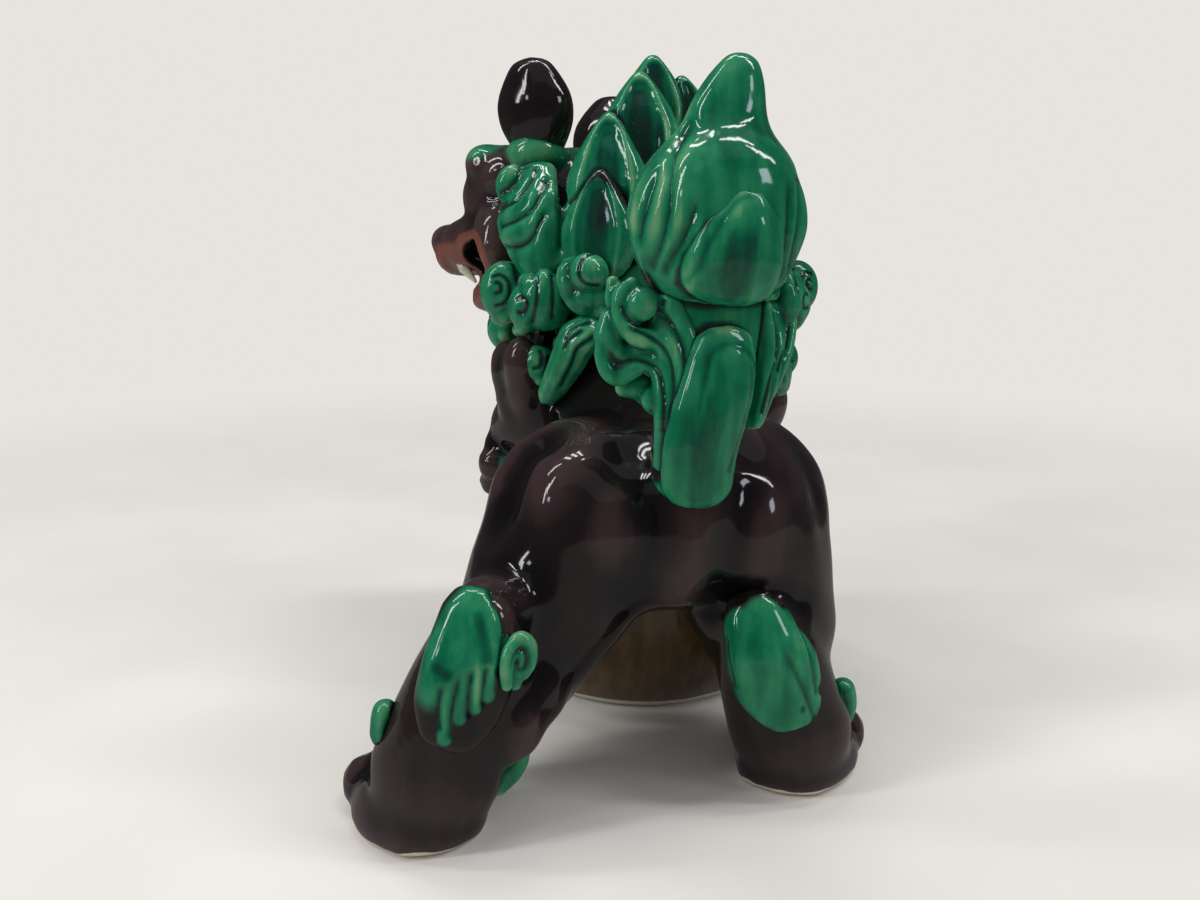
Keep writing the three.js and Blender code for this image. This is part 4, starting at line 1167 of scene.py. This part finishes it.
# %% [markdown]
# ## The flames
# Flames stand on the mane behind the ears: pressed leaves with thick rims and sunken middles, where the
# green glaze pools and painted shade darkens them further. Each is scooped from the side it faces. The angle
# says how far that is turned from straight back towards the left.

# %% The flames
FLAMES = {
    "crest_flame_nape": 24, "crest_flame_low": 18, "crest_flame_middle": 12, "crest_flame_top": 5,
    "crest_flame_right": -8, "right_flame_low": -30, "right_flame_nape": -20,
}
FLAME_TILT = 0.15

for node, turn in FLAMES.items():
    flame = clay(f"{node}_leaf", node)
    soften(flame, grain=0.8, swell=1.2, blur=4.3)
    way = math.radians(turn)
    dish_leaf(flame, facing(math.sin(way), math.cos(way), FLAME_TILT), inner=0.6, depth=2.3)
    rub(flame, rounds=10)
    seams(flame, [node])
    pool(flame, scale=0.9)
    hand_over(flame, GREEN, "green_glaze", node)

# %% [markdown]
# ## Plans of the locks
# Each lock has a plan, drawn as it is seen. Eggs are its core, given by a spot, a push into the figure and
# three radii. Rolls are its strands, given by a line and the radii along it, and creases are cut between
# them. The leaf at the cheek keeps its raw solid, and sweeps of hair join it to the mane and the crest.

# %% Leaf, neck and shoulder
LOCKS = {
    "cheek_lock": dict(
        leaf=dict(shift=(3.8, -0.8, 2.4), turn=15, stretch=1.22),
        eggs=[((508, 178), 3, (9, 6, 10))], rolls=[],
        sweeps=[([(588, 188), (577, 204), (565, 228), (553, 252)], (3, 4.5, 4.5, 3)),
                ([(596, 222), (586, 236), (572, 250), (560, 264)], (2.5, 4, 4, 2.5)),
                ([(604, 132), (592, 152), (579, 174), (571, 192)], (3, 4.5, 4.5, 3)),
                ([(526, 152), (546, 150), (568, 147), (590, 141)], (3, 5, 5, 4))],
        creases=[[(522, 163), (519, 174), (511, 186), (501, 193)],
                 [(536, 168), (528, 184), (517, 198), (500, 208)],
                 [(547, 180), (533, 206), (518, 218), (501, 226)],
                 [(545, 213), (530, 238), (518, 246), (503, 247)]],
        width=5, depth=2.6, blur=3),
    "neck_lock": dict(
        eggs=[((545, 300), 5, (11, 8, 12)), ((528, 306), 4, (8, 7, 10))],
        creases=[[(537, 276), (537, 296), (533, 322)], [(552, 274), (553, 296), (552, 318)],
                 [(516, 299), (522, 297), (527, 303), (524, 312), (518, 312)]],
        rolls=[([(528, 272), (532, 290), (530, 308), (525, 324), (519, 330)], (2.6, 3.2, 3.2, 3, 2)),
               ([(545, 275), (541, 297), (543, 316)], (2.8, 4, 2.6)),
               ([(557, 273), (563, 293), (561, 316)], (2.8, 4, 2.6)), ([(519, 303), (521, 308)], (4.4, 4.4))],
        width=2.6, depth=1, blur=1.1),
    "shoulder_lock": dict(
        eggs=[((580, 338), 4, (9, 7, 8))],
        creases=[[(563, 341), (573, 328), (589, 322)], [(563, 349), (568, 341), (581, 331)],
                 [(560, 388), (571, 366), (578, 349), (592, 338)]],
        rolls=[([(594, 327), (578, 340), (567, 362), (553, 388), (541, 407)], (6, 8, 7, 5, 2.4)),
               ([(600, 321), (581, 319), (567, 327), (561, 340), (561, 360)], (2.4, 2.8, 2.8, 2.6, 2))],
        width=4, depth=1.5, blur=1.2),
}
print("planned:", list(LOCKS))

# %% Curls and knobs
LOCKS.update({
    "cheek_curl": dict(
        eggs=[((503, 289), 5, (10, 8, 12))],
        creases=[[(492, 277), (500, 275), (508, 281), (510, 292), (505, 303), (496, 306)],
                 [(494, 282), (500, 284), (501, 291), (496, 293)]],
        rolls=[([(490, 268), (503, 264), (516, 272), (520, 290), (513, 308), (501, 316), (490, 310)],
                (2.4, 3, 3.6, 3.8, 3.6, 3.2, 2.6)),
               ([(492, 278), (501, 280), (504, 290), (499, 299), (491, 298)], (2.2, 2.6, 2.8, 2.6, 2)),
               ([(495, 287), (496, 289)], (2.6, 2.6))],
        width=2.2, depth=0.9, blur=0.9),
    "beard_curl": dict(
        eggs=[((487, 322), 5, (8, 8, 10))],
        creases=[[(480, 311), (486, 312), (489, 320), (485, 328), (479, 327)]],
        rolls=[([(486, 303), (496, 309), (498, 323), (492, 336), (481, 340)], (2.6, 3.2, 3.6, 3.4, 2.6)),
               ([(481, 319), (482, 321)], (3.6, 3.6))],
        width=2.4, depth=0.9, blur=1),
    "nape_knob": dict(
        eggs=[((592, 268), -2, (7.6, 7.6, 7.6)), ((582, 280), 6, (9, 7, 10)), ((588, 296), 5, (7, 6, 7))],
        creases=[[(596, 253), (586, 256), (580, 264), (579, 275), (586, 284), (598, 286)]],
        rolls=[([(603, 247), (586, 248), (573, 259), (567, 276), (571, 293), (581, 305), (597, 310)],
                (2.4, 3, 3.4, 3.6, 3.6, 3.4, 2.4))],
        width=2, depth=0.8, blur=0.8),
    "shoulder_curl": dict(
        eggs=[((538, 364), 3, (7, 6, 8))],
        creases=[[(540, 349), (542, 358), (540, 366), (534, 368)]],
        rolls=[([(530, 349), (540, 346), (547, 351), (548, 362), (544, 374), (536, 382)],
                (2.4, 3, 3.3, 3.4, 3.2, 2.2)),
               ([(534, 357), (536, 361)], (4, 4))],
        width=2, depth=0.8, blur=0.8),
})
print("planned:", list(LOCKS))

# %% [markdown]
# ## Laying the locks
# A lock is laid where its raw solid lies, on the solid's own skin. Curls are then built anew from eggs and
# rolls alone. Only the leaf at the cheek keeps its solid, turned and stretched to lie as it is seen. The
# right side is hidden here, so each of its locks is a turned copy of the left one.

# %% How a lock is laid
LEAF_TALL = 0.92
SWEEP_STEPS = 8
SWEEP_LEAST = 3
FAR_AWAY = 9000


def lay_leaf(piece, shift, turn, stretch):
    """Turns a leaf as it is seen, stretches it across and shifts it."""
    middle = points_of(piece).mean(axis=0)
    upright = np.array(Matrix.Rotation(math.radians(turn), 3, -ahead))
    turned = (points_of(piece) - middle) @ upright.T * (1, 1, LEAF_TALL)
    turned += np.outer(turned @ np.array(right), np.array(right)) * (stretch - 1)
    put_points(piece, turned + middle + np.array(shift) * MM)


def swept(drawing):
    """A line on the mane or the head, whichever is nearer to the eye."""
    seen = []
    for x, y in smooth_line(drawing, SWEEP_STEPS):
        struck = [raw_skins[node].ray_cast(eye, sight(x, y)) for node in ("mane", "head")]
        first = min(struck, key=lambda hit: hit[3] or FAR_AWAY * MM)[0]
        if first:
            seen.append(first)
    return seen


def lay_lock(lock, plan):
    """The left one of a pair of locks, laid by its plan."""
    name = f"left_{lock}_pressing"
    piece = clay(name, f"left_{lock}")
    if "leaf" in plan:
        lay_leaf(piece, **plan["leaf"])
    lines = traced(piece, *(drawing for drawing, radii in plan["rolls"]))
    spots = traced(piece, *([spot, spot] for spot, push, radii in plan["eggs"]))
    eggs = [ball_of_clay("egg", line[0] / MM + np.array(ahead) * push, radii)
            for line, (spot, push, radii) in zip(spots, plan["eggs"])]
    if "leaf" not in plan:
        bpy.data.objects.remove(piece)
        piece = eggs.pop(0)
        piece.name = name
    if eggs:
        only(piece, *eggs)
        bpy.ops.object.join()
    for line, (drawing, radii) in zip(lines, plan["rolls"]):
        add_roll(piece, line, radii)
    for drawing, radii in plan.get("sweeps", []):
        seen = swept(drawing)
        if len(seen) > SWEEP_LEAST:
            add_roll(piece, seen, radii)
    soften(piece, grain=0.7, swell=0.4 if "leaf" in plan else 1.3, blur=plan["blur"])
    crease(piece, traced(piece, *plan["creases"]), plan["width"], plan["depth"], shade=1)
    rub(piece, rounds=3)
    seams(piece, [f"left_{lock}"], width=1.6)
    pool(piece, scale=0.8)
    return piece


print("a sweep has", SWEEP_STEPS, "steps for each point")

# %% How a twin is made
TWIN_SHIFT = 6


def twin_of(piece, name):
    """A copy of a lock on the other side of the mane."""
    twin = bpy.data.objects.new(name, piece.data.copy())
    bpy.context.collection.objects.link(twin)
    turned = points_of(twin)
    turned[:, 0] = (2 * mane_middle + TWIN_SHIFT) * MM - turned[:, 0]
    put_points(twin, turned)
    only(twin)
    bpy.ops.object.mode_set(mode="EDIT")
    bpy.ops.mesh.select_all(action="SELECT")
    bpy.ops.mesh.flip_normals()
    bpy.ops.object.mode_set(mode="OBJECT")
    return twin


print("the twins' plane is at", round(mane_middle + TWIN_SHIFT / 2, 1), "mm")

# %% The locks and curls
for lock, plan in LOCKS.items():
    piece = lay_lock(lock, plan)
    twin = twin_of(piece, f"right_{lock}_pressing")
    hand_over(piece, GREEN, "green_glaze", f"left_{lock}")
    hand_over(twin, GREEN, "green_glaze", f"right_{lock}")

# %% [markdown]
# ## The plume of the tail
# The tail stands up the back as a plume on a stem. The plume is a bundle of petals, so its creases run from
# the sides of the tip down to the lower left. The same creases are laid on its hidden front. A saddle is
# pressed in below the tip, and the middle is raised.

# %% The plume
PETALS = [[(690, 112), (682, 127), (674, 160), (671, 191), (667, 220), (651, 266)],
          [(699, 190), (694, 212), (684, 236), (664, 270)], [(664, 158), (648, 198), (637, 236)],
          [(776, 112), (791, 140), (798, 172), (801, 220), (793, 265)],
          [(783, 172), (789, 204), (789, 244), (783, 272)]]
SADDLE = [(690, 124), (712, 117), (745, 115), (775, 122)]
BELLY = [(705, 170), (735, 160), (770, 165)]

plume = clay("tail_plume_petals", "tail_plume")
soften(plume, grain=0.9, swell=1.0, blur=4.5)
plume_low, plume_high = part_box("tail_plume")
plume_middle = (plume_low[1] + plume_high[1]) / 2
petals = traced(plume, *PETALS)
petals += reflected(plume, petals, plume_middle, 1)
crease(plume, petals, width=7.5, depth=2.8, fade=0.35)
saddle = traced(plume, SADDLE)
saddle += reflected(plume, saddle, plume_middle, 1)
belly = traced(plume, BELLY)
belly += reflected(plume, belly, plume_middle, 1)
thumb(plume, saddle, height=-2.8, width=9)
thumb(plume, belly, height=2.4, width=14)
rub(plume, rounds=8)
seams(plume, ["tail_plume", "mane"])
pool(plume, scale=1.1, rounds=30)
hand_over(plume, GREEN, "green_glaze", "tail_plume")

# %% [markdown]
# ## Lobe, tongue and stem
# A lobe lies over the foot of the plume, and a long tongue lies over the stem. Both are leaves with a fine
# rim that is cut along a line, and their middles are darkened, partly by pooled glaze and partly by painted
# shade. The lobe is made a little larger than its solid, and a thin roll gives the tongue a double arch.

# %% The lobe, the tongue and the stem
RIMS = {
    "tail_front_lobe": [(760, 199), (748, 197), (737, 202), (727, 213), (718, 229), (708, 246), (699, 265),
                        (688, 281)],
    "tail_tongue": [(690, 470), (698, 430), (701, 400), (707, 372), (713, 353), (731, 344), (750, 353),
                    (757, 374), (756, 403), (748, 444), (738, 474)],
}
LOBE_SIZE = (1.12, 1.03, 1.12)
LOBE_SHIFT = (-1.2, 0, 0)
ARCH = [(699, 352), (710, 338), (731, 331), (752, 337)]
ARCH_RADII = (1.2, 1.6, 1.2)
MIDDLE_SHADE = 0.62

for node, drawing in RIMS.items():
    leaf = clay(f"{node}_leaf", node)
    if node == "tail_front_lobe":
        points = points_of(leaf)
        foot = np.array((points[:, 0].mean(), points[:, 1].mean(), points[:, 2].min()))
        put_points(leaf, foot + (points - foot) * LOBE_SIZE + np.array(LOBE_SHIFT) * MM)
    else:
        add_roll(leaf, traced(leaf, ARCH)[0], ARCH_RADII)
    soften(leaf, grain=0.8, swell=1.0, blur=3.2)
    crease(leaf, traced(leaf, drawing), width=3.4, depth=0.9, fade=0.15, shade=0.6)
    rub(leaf, rounds=4)
    seams(leaf, [node])
    length, width, out = leaf_shares(leaf, facing(0.1, 1, 0))
    # Painted shade, together with pooled glaze, darkens the outward middle of the leaf.
    darken(leaf, MIDDLE_SHADE * ramp(np.abs(width), 0.7, 0.2) * ramp(length, 0.95, 0.55) * (out > 0))
    pool(leaf, scale=1.0, rounds=30)
    hand_over(leaf, GREEN, "green_glaze", node)
stem = clay("tail_stem_roll", "tail_stem")
soften(stem, grain=0.9, swell=0.5, blur=3)
seams(stem, ["tail_stem"], width=3)
pool(stem, scale=1.0, rounds=30)
hand_over(stem, GREEN, "green_glaze", "tail_stem")

# %% [markdown]
# ## The strands of the tail
# Strands of hair swing out at both sides of the stem and end in knobs. They are rolls that hang in the air
# behind the back, so each has a depth besides its line: how far it lies behind the tail's middle at its two
# ends. Rubbed together they lose their edges, so grooves are cut between them again.

# %% Plans of the strands
tail_back = ball_y + 145
LEFT_ROLLS = [
    ([(669, 302), (680, 322), (688, 341), (689, 358), (686, 376), (682, 414), (676, 446), (668, 470)], (3, 9),
     (3.6, 3.4, 3.2, 3, 2)),
    ([(632, 284), (621, 294), (620, 310), (625, 324), (636, 336), (648, 339), (658, 341), (667, 354),
      (671, 372), (672, 394), (669, 430), (664, 460)], (0, 6), (2.2, 2.6, 3.2, 3.4, 3, 3, 2.6, 2)),
    ([(603, 340), (602, 356), (607, 371), (617, 378), (630, 372), (644, 364), (655, 367), (661, 380),
      (664, 394), (663, 436), (659, 464)], (-3, 3), (2.2, 2.4, 2.8, 2.8, 2.6, 2.6, 2)),
    ([(652, 312), (664, 330), (677, 350), (680, 376), (676, 420), (670, 455)], (-3, 3), (5, 5, 4.5, 4, 3)),
    ([(640, 330), (642, 352), (656, 356), (665, 374), (667, 400), (666, 430), (662, 462)], (-6, 0),
     (6, 6, 5, 4.5, 3)),
    ([(612, 352), (622, 358), (634, 352)], (-7,), (6, 7, 6)),
    ([(609, 318), (607, 334), (611, 350)], (-4,), (2.8, 4.6, 4.4)),
    ([(624, 388), (642, 388), (656, 400)], (-7,), (3, 5, 5)),
    ([(613, 282), (614, 300), (618, 312)], (-4,), (2, 3, 2.4)),
]
LEFT_GROOVES = [[(621, 300), (626, 316), (640, 325), (656, 316), (663, 301)],
                [(623, 325), (646, 334), (663, 348), (672, 373), (673, 413), (667, 445)],
                [(660, 311), (677, 334), (685, 360), (685, 400), (675, 445)],
                [(608, 348), (617, 362), (637, 359), (656, 369), (663, 393), (663, 430)]]
RIGHT_ROLLS = [
    ([(766, 308), (768, 340), (766, 367), (763, 395), (757, 425)], (2, 10), (2.2, 2.4, 2, 1.2)),
    ([(779, 312), (778, 337), (775, 361), (768, 394), (758, 425)], (-4, 8), (2.2, 2.6, 2.2, 1.2)),
    ([(791, 322), (786, 350), (777, 372), (768, 398)], (-8, 2), (2.2, 2.4, 2, 1.4)),
    ([(773, 310), (773, 345), (769, 380), (758, 420)], (-4, 6), (3.4, 3.4, 3, 2)),
    ([(785, 318), (781, 350), (773, 380), (762, 405)], (-10, 2), (3.6, 3.4, 3, 2)),
    ([(764, 320), (762, 350), (758, 390), (752, 420)], (0, 6), (4, 4, 4, 3)),
    ([(788, 290), (790, 306), (789, 318)], (-2,), (2.6, 3.8, 2.4)),
]
RIGHT_GROOVES = [[(773, 308), (777, 340), (772, 373), (762, 412)], [(789, 320), (786, 344), (778, 370)]]
STRANDS = {
    "tail_left_strands": dict(
        nodes=["tail_left_strand", "tail_left_low_strand"],
        knob=(642, 304), knob_back=2, knob_radii=(5.8, 5.8, 5.8),
        rolls=LEFT_ROLLS, grooves=LEFT_GROOVES, swell=0.6, blur=1.3, width=3, depth=1.4),
    "tail_right_strands": dict(
        nodes=["tail_right_strand"], knob=(789, 300), knob_back=-2, knob_radii=(3.4, 3.4, 5),
        rolls=RIGHT_ROLLS, grooves=RIGHT_GROOVES, swell=0.5, blur=1.1, width=2.4, depth=1),
}
print("strands hang about", round(tail_back, 1), "mm behind the middle")

# %% The strands
for name, plan in STRANDS.items():
    knob = hung([plan["knob"]] * 2, (tail_back + plan["knob_back"],))[0]
    strands = ball_of_clay(name, knob / MM, plan["knob_radii"])
    for drawing, backs, radii in plan["rolls"]:
        add_roll(strands, hung(drawing, [tail_back + back for back in backs], "tail_stem"), radii)
    soften(strands, grain=0.7, swell=plan["swell"], blur=plan["blur"])
    crease(strands, traced(strands, *plan["grooves"]), plan["width"], plan["depth"], fade=0.1, shade=1)
    rub(strands, rounds=2)
    seams(strands, plan["nodes"], width=1.6)
    pool(strands, scale=1.0)
    hand_over(strands, GREEN, "green_glaze", *plan["nodes"])

# %% [markdown]
# ## Tufts at the heels
# A tuft lies on the back of each hock. The left one ends in a fringe of fingers, and the right one in side
# locks. They are pressings with creases cut into them. A small curl beside the left tuft and a lock on the
# inner side of the left paw are laid from rolls on the leg itself.

# %% Plans of the tufts
TUFTS = {
    "left_hock_tuft": dict(
        creases=[[(461, 674), (455, 695), (451, 715), (450, 736)], [(473, 668), (469, 690), (468, 714)],
                 [(486, 663), (484, 684), (482, 704)], [(442, 684), (438, 705), (439, 728)],
                 [(484, 592), (500, 603), (506, 622), (503, 645), (500, 672)]],
        width=4, depth=2, blur=4, swell=1),
    "right_hock_tuft": dict(
        creases=[[(793, 612), (810, 649), (817, 690)], [(782, 645), (803, 688), (816, 722)],
                 [(727, 632), (727, 655), (733, 684)]],
        width=5, depth=2, blur=4, swell=1),
    "left_hock_curl": dict(
        laid=[([(507, 684), (507, 666), (511, 649), (521, 638), (530, 645), (530, 661), (525, 673)],
               (2, 2.6, 2.9, 2.9, 2.7, 2.5, 1.8)), ([(519, 660), (520, 666)], (3, 3)),
              ([(515, 682), (517, 665), (521, 652)], (2.4, 3.6, 3))],
        on=("left_hind_leg", "left_hock_tuft"),
        creases=[[(511, 682), (512, 664), (517, 652), (524, 650), (527, 659), (524, 669), (518, 669),
                  (517, 661)]],
        width=3, depth=1.6, blur=0.9, swell=0.3),
    "left_outer_lock": dict(
        creases=[[(397, 702), (389, 720), (383, 745)]], width=4, depth=1.4, blur=2.4, swell=0.8),
    "left_inner_lock": dict(
        laid=[([(525, 744), (519, 757), (510, 771), (499, 786)], (2.4, 4.2, 4.6, 3)),
              ([(525, 743), (520, 752), (512, 764)], (1.8, 2.8, 2))],
        on=("left_hind_leg", "left_hind_paw"), creases=[], width=4, depth=1.2, blur=1.4, swell=0.3),
    "right_outer_lock": dict(
        creases=[[(842, 685), (845, 700), (846, 720)]], width=4, depth=1.2, blur=2.4, swell=0.8),
}
print("tufts and locks:", len(TUFTS))

# %% [markdown]
# ## Green and aubergine on the tufts
# The painter laid the green on the raised hair only, and between it the aubergine of the legs shows. So on
# each tuft the green keeps to lines down its locks or fingers, and away from them the other glaze takes
# over. On the left tuft a band of painted shade darkens the middle.

# %% How the tufts are painted
CAP = [[(440, 655), (462, 620), (478, 600)], [(455, 655), (485, 620), (498, 612)],
       [(470, 655), (495, 640), (505, 630)]]
FINGERS = [[(455, 660), (449, 690), (445, 715), (444, 740)], [(468, 660), (464, 685), (461, 703), (459, 719)],
           [(480, 656), (478, 680), (476, 695), (474, 708)], [(494, 650), (494, 670), (492, 684), (488, 696)]]
OUTER_EDGE = [(436, 655), (430, 690)]
# Lines along which the left tuft's cap is darkened with painted shade.
SHADED_BANDS = [[(478, 616), (484, 640), (486, 660)], [(436, 668), (448, 676)]]
BAND_SHADE = 0.72
BAND_WIDE = 4
RIGHT_LOCKS = [[(742, 630), (748, 670), (765, 712)], [(765, 618), (780, 660), (790, 718)],
               [(790, 630), (806, 670), (812, 712)]]


def away_from(tuft, drawings, low, high):
    """Rises from 0 to 1 away from lines that are drawn on a tuft."""
    return ramp(reach(points_of(tuft), traced(tuft, *drawings)), low, high)


def paint_left_tuft(tuft):
    """Green on the cap, the fingers and the outer edge, with a band of painted shade in the middle."""
    free = np.minimum(away_from(tuft, CAP, 6, 11), away_from(tuft, FINGERS, 1.8, 3.1))
    note(tuft, "aubergine", np.minimum(free, away_from(tuft, [OUTER_EDGE], 3, 10)))
    # A band of painted shade darkens the middle of the cap.
    runs = reach(points_of(tuft), traced(tuft, *SHADED_BANDS))
    darken(tuft, BAND_SHADE * np.exp(-(runs / BAND_WIDE) ** 2))


def paint_right_tuft(tuft):
    """Green on three locks."""
    note(tuft, "aubergine", away_from(tuft, RIGHT_LOCKS, 7, 10))


PAINTED = {"left_hock_tuft": paint_left_tuft, "right_hock_tuft": paint_right_tuft}
print("painted in two glazes:", list(PAINTED))

# %% The tufts and ankle locks
LAID_LIFT = 2
LAID_START = (2, 2, 2)
FLARE = 0.25
FLARE_SHIFT = 2

for node, plan in TUFTS.items():
    tuft = clay(f"{node}_pressing", node)
    points = points_of(tuft)
    if "laid" in plan:
        back = points[:, 1].mean() / MM
        lines = [hung(drawing, (back,), *plan["on"]) for drawing, radii in plan["laid"]]
        lines = [line - np.array(ahead) * LAID_LIFT * MM for line in lines]
        bpy.data.objects.remove(tuft)
        tuft = ball_of_clay(f"{node}_pressing", lines[0][0] / MM, LAID_START)
        for line, (drawing, radii) in zip(lines, plan["laid"]):
            add_roll(tuft, line, radii)
    if node == "right_hock_tuft":
        low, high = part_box(node)
        share = ramp((high[2] - points[:, 2]) / (high[2] - low[2]), 0.2, 0.85)
        spread = (points[:, 0] - (low[0] + high[0]) / 2) * FLARE
        points[:, 0] += (spread - FLARE_SHIFT * MM) * share
        put_points(tuft, points)
    soften(tuft, grain=0.7, swell=plan["swell"], blur=plan["blur"])
    crease(tuft, traced(tuft, *plan["creases"]), plan["width"], plan["depth"], fade=0.25, shade=0.7)
    rub(tuft, rounds=3)
    if node in PAINTED:
        PAINTED[node](tuft)
    seams(tuft, [node], width=1.8)
    pool(tuft, scale=0.9)
    hand_over(tuft, GREEN, "green_glaze", node)

# %% [markdown]
# ## The studio
# A pale floor that fades into a pale background. The floor keeps the shadow under the lion, and further out
# it only shows its colour to the eye. In the glaze's mirror it is dim, or it would wash the dark glazes
# out.

# %% The floor
FLOOR_CORNERS = 64
# The floor is measured in metres.
FLOOR_RADIUS = 6
FLOOR_RIM = 4.5

scene = bpy.context.scene
bpy.ops.object.select_all(action="DESELECT")
bpy.ops.mesh.primitive_circle_add(
    vertices=FLOOR_CORNERS, radius=FLOOR_RADIUS, fill_type="NGON", location=(0, 0, 0))
floor = bpy.context.object
floor.name = "studio_floor"
bpy.ops.object.mode_set(mode="EDIT")
bpy.ops.mesh.select_all(action="SELECT")
bpy.ops.mesh.inset(thickness=FLOOR_RIM)
bpy.ops.object.mode_set(mode="OBJECT")
print("the floor has", len(floor.data.polygons), "faces")

# %% Paper that fades
PALE = (0.80, 0.775, 0.735, 1)
DIM_FLOOR = (0.08, 0.077, 0.075, 1)
PAPER_TONES = [(0.3, (0.76, 0.735, 0.69)), (0.7, (0.82, 0.80, 0.76))]
PAPER_ROUGHNESS = 0.6
PAPER_GRAIN = 7
# The fade is measured in metres from the lion's middle.
FADE_STARTS = 0.25
FADE_ENDS = 1.1
LEAST_DIM = 0.7

paper = bpy.data.materials.new("studio_paper")
paper.use_nodes = True
tree = paper.node_tree
plain = tree.nodes["Principled BSDF"]
plain.inputs["Roughness"].default_value = PAPER_ROUGHNESS
spot = tree.nodes.new("ShaderNodeTexCoord").outputs["Object"]
tree.links.new(toned(tree, noise_node(tree, spot, PAPER_GRAIN), PAPER_TONES), plain.inputs["Base Color"])
away = tree.nodes.new("ShaderNodeVectorMath")
away.operation = "LENGTH"
tree.links.new(spot, away.inputs[0])
fade = tree.nodes.new("ShaderNodeMapRange")
fade.interpolation_type = "SMOOTHSTEP"
fade.inputs["From Min"].default_value = FADE_STARTS
fade.inputs["From Max"].default_value = FADE_ENDS
tree.links.new(away.outputs["Value"], fade.inputs["Value"])
rays = tree.nodes.new("ShaderNodeLightPath")
mirrored = math_node(tree, "MAXIMUM", fade.outputs["Result"], LEAST_DIM)
mirrored = math_node(tree, "MULTIPLY", mirrored, rays.outputs["Is Glossy Ray"])
direct = math_node(tree, "MULTIPLY", fade.outputs["Result"], rays.outputs["Is Camera Ray"])
glow = tree.nodes.new("ShaderNodeEmission")
tree.links.new(washed(tree, rays.outputs["Is Camera Ray"], DIM_FLOOR, PALE), glow.inputs["Color"])


def blended(tree, share, under, over):
    """One shader laid over another by a share."""
    mixed = tree.nodes.new("ShaderNodeMixShader")
    for socket, value in zip(mixed.inputs, (share, under, over)):
        tree.links.new(value, socket)
    return mixed.outputs["Shader"]


glowing = math_node(tree, "ADD", direct, mirrored)
shown = blended(tree, glowing, plain.outputs["BSDF"], glow.outputs["Emission"])
tree.links.new(shown, tree.nodes["Material Output"].inputs["Surface"])
floor.data.materials.append(paper)
print("floor nodes:", len(tree.nodes))

# %% [markdown]
# ## Lamps
# The lamps overhead hang in rows of three long tubes, because tubes give the short bright streaks that
# belong to a glassy glaze. One broad lamp fills the shadows, and two small bluish ones at the sides give
# cool glints. Places and sizes are in metres here.

# %% The lamps
ROWS = [(1.0, -0.15, 1.5), (0.15, -0.3, 1.6), (-0.45, 0.2, 1.6), (1.35, 0.45, 1.2), (-0.9, 0.5, 1.3),
        (1.55, 0.35, 0.85)]
ROW_AIM = Vector((0, 0.05, 0.15))
TUBE_SIZE = (0.075, 0.42)
TUBE_POWER = 1.45
TUBE_STEP = 0.19
LION = (0, 0, 0.15)


def lamp(name, place, toward, size, power, tint=(1, 1, 1)):
    """A flat lamp of this size that shines from a place towards another."""
    bpy.ops.object.select_all(action="DESELECT")
    way = Vector(toward) - Vector(place)
    bpy.ops.object.light_add(type="AREA", location=place, rotation=way.to_track_quat("-Z", "Y").to_euler())
    light = bpy.context.object
    light.name = name
    light.data.shape = "RECTANGLE"
    light.data.size, light.data.size_y = size
    light.data.energy = power
    light.data.color = tint


for row, middle in enumerate(ROWS):
    aim = ROW_AIM - Vector(middle)
    aside = aim.cross(Vector((0, 1, 0))).normalized()
    for k in range(3):
        place = Vector(middle) + aside * TUBE_STEP * (k - 1)
        lamp(f"tube_{row}_{k}", place, place + aim, TUBE_SIZE, TUBE_POWER)
lamp("soft_ceiling", (0, 0.2, 2.2), (0, 0, 0), size=(3, 3), power=5)
lamp("window", (-1.1, 1.0, 0.8), LION, size=(0.25, 0.35), power=2, tint=(0.8, 0.88, 1))
lamp("far_window", (1.5, 0.75, 0.75), LION, size=(0.2, 0.2), power=1.2, tint=(0.7, 0.82, 1))

# %% [markdown]
# ## The air of the studio
# The background has three faces. It lights the clay softly, it shows the pale backdrop to the eye, and in
# the glaze's mirror it is nearly black, so that only the lamps shine there.

# %% The air
AIR = (1, 0.99, 0.97, 1)
AIR_STRENGTH = 0.36
DIM_AIR = (0.05, 0.05, 0.055, 1)

world = bpy.data.worlds.new("studio_air")
scene.world = world
world.use_nodes = True
tree = world.node_tree
air = tree.nodes["Background"]
air.inputs["Color"].default_value = AIR
air.inputs["Strength"].default_value = AIR_STRENGTH
dim = tree.nodes.new("ShaderNodeBackground")
dim.inputs["Color"].default_value = DIM_AIR
backdrop = tree.nodes.new("ShaderNodeBackground")
backdrop.inputs["Color"].default_value = PALE
rays = tree.nodes.new("ShaderNodeLightPath")
shown = blended(tree, rays.outputs["Is Glossy Ray"], air.outputs["Background"], dim.outputs["Background"])
shown = blended(tree, rays.outputs["Is Camera Ray"], shown, backdrop.outputs["Background"])
tree.links.new(shown, tree.nodes["World Output"].inputs["Surface"])
scene.view_settings.view_transform = "Standard"
print("air:", world.name)
